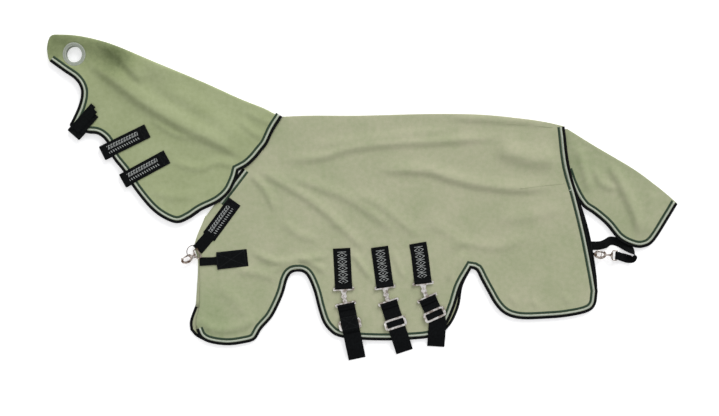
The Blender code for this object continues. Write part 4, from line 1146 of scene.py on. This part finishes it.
# How a strap comes round the throat edge from under it: reach along its line, and height
THROAT_TURN = [(52, 1.05), (30, 1.05), (4, 1.05), (-1.5, 3.4), (-2.4, 8.0), (-1.2, 12.6), (2.0, 14.9)]
THROAT_STRAPS = [[(-833, 178), (-776, 242)], [(-749, 124), (-615, 190)], [(-690, 44), (-565, 112)]]
for number, ends in enumerate(THROAT_STRAPS, 1):
    start, end = [spot(*point) for point in ends]
    way = unit(end - start)
    length = THROAT_STRAP if number > 1 else np.linalg.norm(end - start)
    marks = np.arange(8 * MM, length, 8 * MM)
    points = start + way * marks[:, None]
    rises = np.maximum(neck_rise(points), 0)
    stations = []
    half = np.array([-way[1], way[0], 0]) * LABEL_WEB / 2
    for reach, tall in THROAT_TURN:
        stations.append(((*(start + way * reach * MM), tall * MM), half))
    for place, up in zip(points, rises):
        stations.append(((*place, throat_z + up), half))
    stations.append(((*(start + way * length), throat_z + rises[-1]), half))
    item = webbing(f"throat_strap_webbing_{number}", stations, label_web if number > 1 else bunch_web)
    bodies = ("neck_cover", f"throat_strap_{number}_body")
    span = ((*start, 3.2 * MM), (*start, 13.2 * MM))
    place_piece(item, bodies, [f"throat_strap_{number}"], span)

# Three shorter layers make the steps at the bunched strap's end: place across, width, start and end
BUNCH = [("upper", 12, 17, 20, 101), ("middle", 1, 22, 12, 94), ("lower", -14, 15, 16, 74)]
start, end = [spot(*point) for point in THROAT_STRAPS[0]]
way = unit(end - start)
left_of = np.array([-way[1], way[0]])
for name, offset, width, first, last in BUNCH:
    plan = [start + left_of * offset * MM + way * reach * MM for reach in (8, 110)]
    tall = throat_z + (3.4 if name == "middle" else 1.75) * MM
    heights = [(d * MM, tall + (0.5 * MM if d == first else 0)) for d in np.linspace(first - 8, last - 8, 5)]
    item = flat_web(f"throat_bunch_{name}", plan, heights, width * MM, narrow_web)
    place_piece(item, "throat_strap_1_body")

# Chest ------------------------------------------------------------------------------------------

chest_label = webbing_material(
    "webbing_chest_label", 21 * MM, two_rows, (64 * MM, 156 * MM), [(160 * MM, 174 * MM)]
)
patch_web = webbing_material("webbing_patch", 25 * MM, boxes=[(52 * MM, 132 * MM)])


def chest_tab(name, node, points, widths, starts, material):
    """Webbing sewn to the chest: a narrow free end, a hem edge, and a wide sewn part. starts are shares."""
    line = [spot(*point) for point in points]
    shoulder = np.linalg.norm(line[1] - line[0])
    span = np.linalg.norm(line[2] - line[1]) + shoulder
    marks = [*np.arange(shoulder + 6 * MM, span, 8 * MM), span]
    heights = [(shoulder * share, FLAT, widths[0]) for share in starts]
    heights += [(shoulder - 0.6 * MM, FLAT, widths[0]), (shoulder + 0.6 * MM, FLAT, widths[1])]
    heights += [(*station, widths[1]) for station in over_cloth(line, marks, FLAT)]
    place_piece(flat_web(name, line, heights, widths[1], material), "rug_body", [node])


label_line = [(-476, -156), (-443, -118), (-368, -16)]
patch_line = [(-470, -190), (-420, -188), (-331, -178)]
chest_tab("chest_label_tab", "chest_tab_upper", label_line, (CHEST_WEB, LABEL_WEB), (0, 0.5), chest_label)
chest_tab("chest_lower_patch", "chest_strap_lower", patch_line, (NARROW_WEB, BELLY_WEB), (0,), patch_web)

low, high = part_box("chest_strap_right")
_, strap_y, strap_z = (low + high) / 2
heights = [(0, strap_z), (40 * MM, strap_z), (high.x - low.x, strap_z)]
plan = [(low.x, strap_y), (high.x, strap_y)]
item = flat_web("chest_strap_under", plan, heights, high.y - low.y, narrow_web)
place_piece(item, "rug_body", ["chest_strap_right"])

# Tail strap ------------------------------------------------------------------------------------

TAIL_STRAP = [
    (640, -143, 0), (682, -144, 0), (703, -139, -12), (720, -130, 0), (743, -134, 0), (765, -147, -10),
    (780, -158, -38), (787, -168, -75), (788, -176, -105), (782, -182, -142), (767, -181, -172),
]
places = np.array([spot(x, y) for x, y, _ in TAIL_STRAP])
stations = []
for i, (_, _, rolled) in enumerate(TAIL_STRAP):
    way = unit(places[min(i + 1, len(places) - 1)] - places[max(i - 1, 0)])
    angle = math.radians(rolled)
    half = np.array([-way[1] * math.cos(angle), way[0] * math.cos(angle), math.sin(angle)]) * NARROW_WEB / 2
    stations.append(((*places[i], WEB / 2 + abs(half[2])), half))
tail_z = level("tail_snap_eye")
snap_bar = spot(735, -172)
snap_way = unit(spot(660, -167) - snap_bar)
right_of = np.array([snap_way[1], -snap_way[0], 0]) * 11.2 * MM
radius = 3.8 * MM
for a in np.radians(-95 + 32 * np.arange(8)):
    place = snap_bar + snap_way * radius * math.cos(a)
    stations.append(((*place, tail_z + radius * math.sin(a)), right_of))
stations.append(((*(snap_bar - snap_way * 9 * MM), tail_z + 1 * MM), right_of))
item = webbing("tail_strap_webbing", stations, narrow_web, spacing=2 * MM)
place_piece(item, "rug_body", ["tail_strap"])

# Metal: the CAD castings, with rounded edges -----------------------------------------------------


def finished_casting(node, material, bevel):
    """Rounds a CAD casting's edges and gives it its metal."""
    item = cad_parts[node]
    item.data.materials.clear()
    item.data.materials.append(material)
    weld = item.modifiers.new("weld", "WELD")
    weld.merge_threshold = 0.00001
    rounding = item.modifiers.new("rounding", "BEVEL")
    rounding.width = bevel
    rounding.segments = 3
    rounding.limit_method = "ANGLE"
    rounding.angle_limit = math.radians(35)
    rounding.harden_normals = True
    item.data.polygons.foreach_set("use_smooth", [True] * len(item.data.polygons))


for number in (1, 2, 3):
    finished_casting(f"belly_eye_{number}", nickel, 0.9 * MM)
    finished_casting(f"belly_hook_{number}", nickel, 0.7 * MM)
    finished_casting(f"belly_slider_{number}", nickel, 0.8 * MM)
for node in ("chest_snap_hook", "chest_snap_gate", "tail_snap_hook", "tail_snap_gate", "tail_snap_eye"):
    finished_casting(node, nickel_dark, 1.1 * MM)


def ring(name, node, wire, material):
    """A smooth wire ring in a CAD ring's place."""
    low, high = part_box(node)
    x, y, z = (low + high) / 2
    outer = circle(np.array([x, y]), (high.x - low.x) / 2, 72)
    turns = np.linspace(0, 2 * np.pi, 15)[:-1]
    section = [(wire / 2 * (1 - math.cos(a)), z + wire / 2 * math.sin(a)) for a in turns]
    item = swept(name, outer, section, flat_rise, material, closed=True)
    return place_piece(item, "rug_body", [node])


ring("chest_wire_ring", "chest_ring", 2.4 * MM, nickel_ring)
ring("tail_wire_ring", "tail_ring", 3 * MM, nickel)

low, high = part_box("tail_ring_tab")
fold = (high.z - low.z - WEB) / 2
tab_y, ring_z = (low.y + high.y) / 2, low.z + WEB / 2 + fold
bar_x = high.x - fold - WEB / 2
half = (0, (high.y - low.y) / 2, 0)
stations = [((bar_x - 2 * MM, tab_y, ring_z + fold), half), ((bar_x, tab_y, ring_z + fold), half)]
for angle in np.radians([60, 30, 0, -30, -60, -90]):
    stations.append(((bar_x + fold * math.cos(angle), tab_y, ring_z + fold * math.sin(angle)), half))
stations += [((bar_x - 8 * MM, tab_y, WEB / 2), half), ((low.x, tab_y, WEB / 2), half)]
item = webbing("tail_ring_webbing", stations, narrow_web, spacing=1.5 * MM)
place_piece(item, "rug_body", ["tail_ring_tab"])

# Studio ------------------------------------------------------------------------------------------

FLOOR_SIZE, FLOOR_Z = 9, -0.4 * MM
WORLD_STRENGTH = 0.72
HORIZON, ZENITH = (0.3, 0.27, 0.24), (0.92, 0.93, 0.95)
KEY_POWER, KEY_SOFTNESS, KEY_DIRECTION = 1.9, 35, (-0.4, -0.8, -0.46)
FILL_POWER, FILL_SIZE, FILL_PLACE = 6, 2.4, (-1.6, -1.2, 2.6)
CAMERA_PLACE, CAMERA_LENS = (-0.0087, -0.0323, 3.0), 51.8

bpy.ops.mesh.primitive_plane_add(size=FLOOR_SIZE, location=(0, 0, FLOOR_Z))
floor = bpy.context.object
floor.name = "floor"
material, tree, shader = new_material("floor_paper", 0.9)
shader.inputs["Base Color"].default_value = (0.96, 0.96, 0.96, 1)
shader.inputs["Emission Color"].default_value = (1, 1, 1, 1)
shader.inputs["Emission Strength"].default_value = 0.38
floor.data.materials.append(material)

world = bpy.data.worlds.new("studio")
bpy.context.scene.world = world
world.use_nodes = True
sky = world.node_tree
direction = sky.nodes.new("ShaderNodeTexCoord")
split = sky.nodes.new("ShaderNodeSeparateXYZ")
sky.links.new(direction.outputs["Generated"], split.inputs[0])
upward = Field(sky, split.outputs[2]).math("MAXIMUM", 0.0).math("POWER", 0.6)
sky.links.new(mixed(sky, upward, HORIZON, ZENITH), sky.nodes["Background"].inputs[0])
sky.nodes["Background"].inputs[1].default_value = WORLD_STRENGTH


def light(name, kind, power, toward, place=(0, 0, 0)):
    """A light that shines along a direction."""
    data = bpy.data.lights.new(name, kind)
    data.energy = power
    item = bpy.data.objects.new(name, data)
    bpy.context.scene.collection.objects.link(item)
    item.location = place
    item.rotation_mode = "QUATERNION"
    item.rotation_quaternion = Vector(toward).to_track_quat("-Z", "Y")
    return data


light("key", "SUN", KEY_POWER, KEY_DIRECTION).angle = math.radians(KEY_SOFTNESS)
light("fill", "AREA", FILL_POWER, -Vector(FILL_PLACE), FILL_PLACE).size = FILL_SIZE

camera_data = bpy.data.cameras.new("camera")
camera = bpy.data.objects.new("camera", camera_data)
bpy.context.scene.collection.objects.link(camera)
camera.location = CAMERA_PLACE
camera_data.lens = CAMERA_LENS
camera_data.sensor_width = 36
camera_data.clip_end = 20
bpy.context.scene.camera = camera
bpy.context.scene.view_settings.view_transform = "Standard"
bpy.context.scene.view_settings.look = "None"
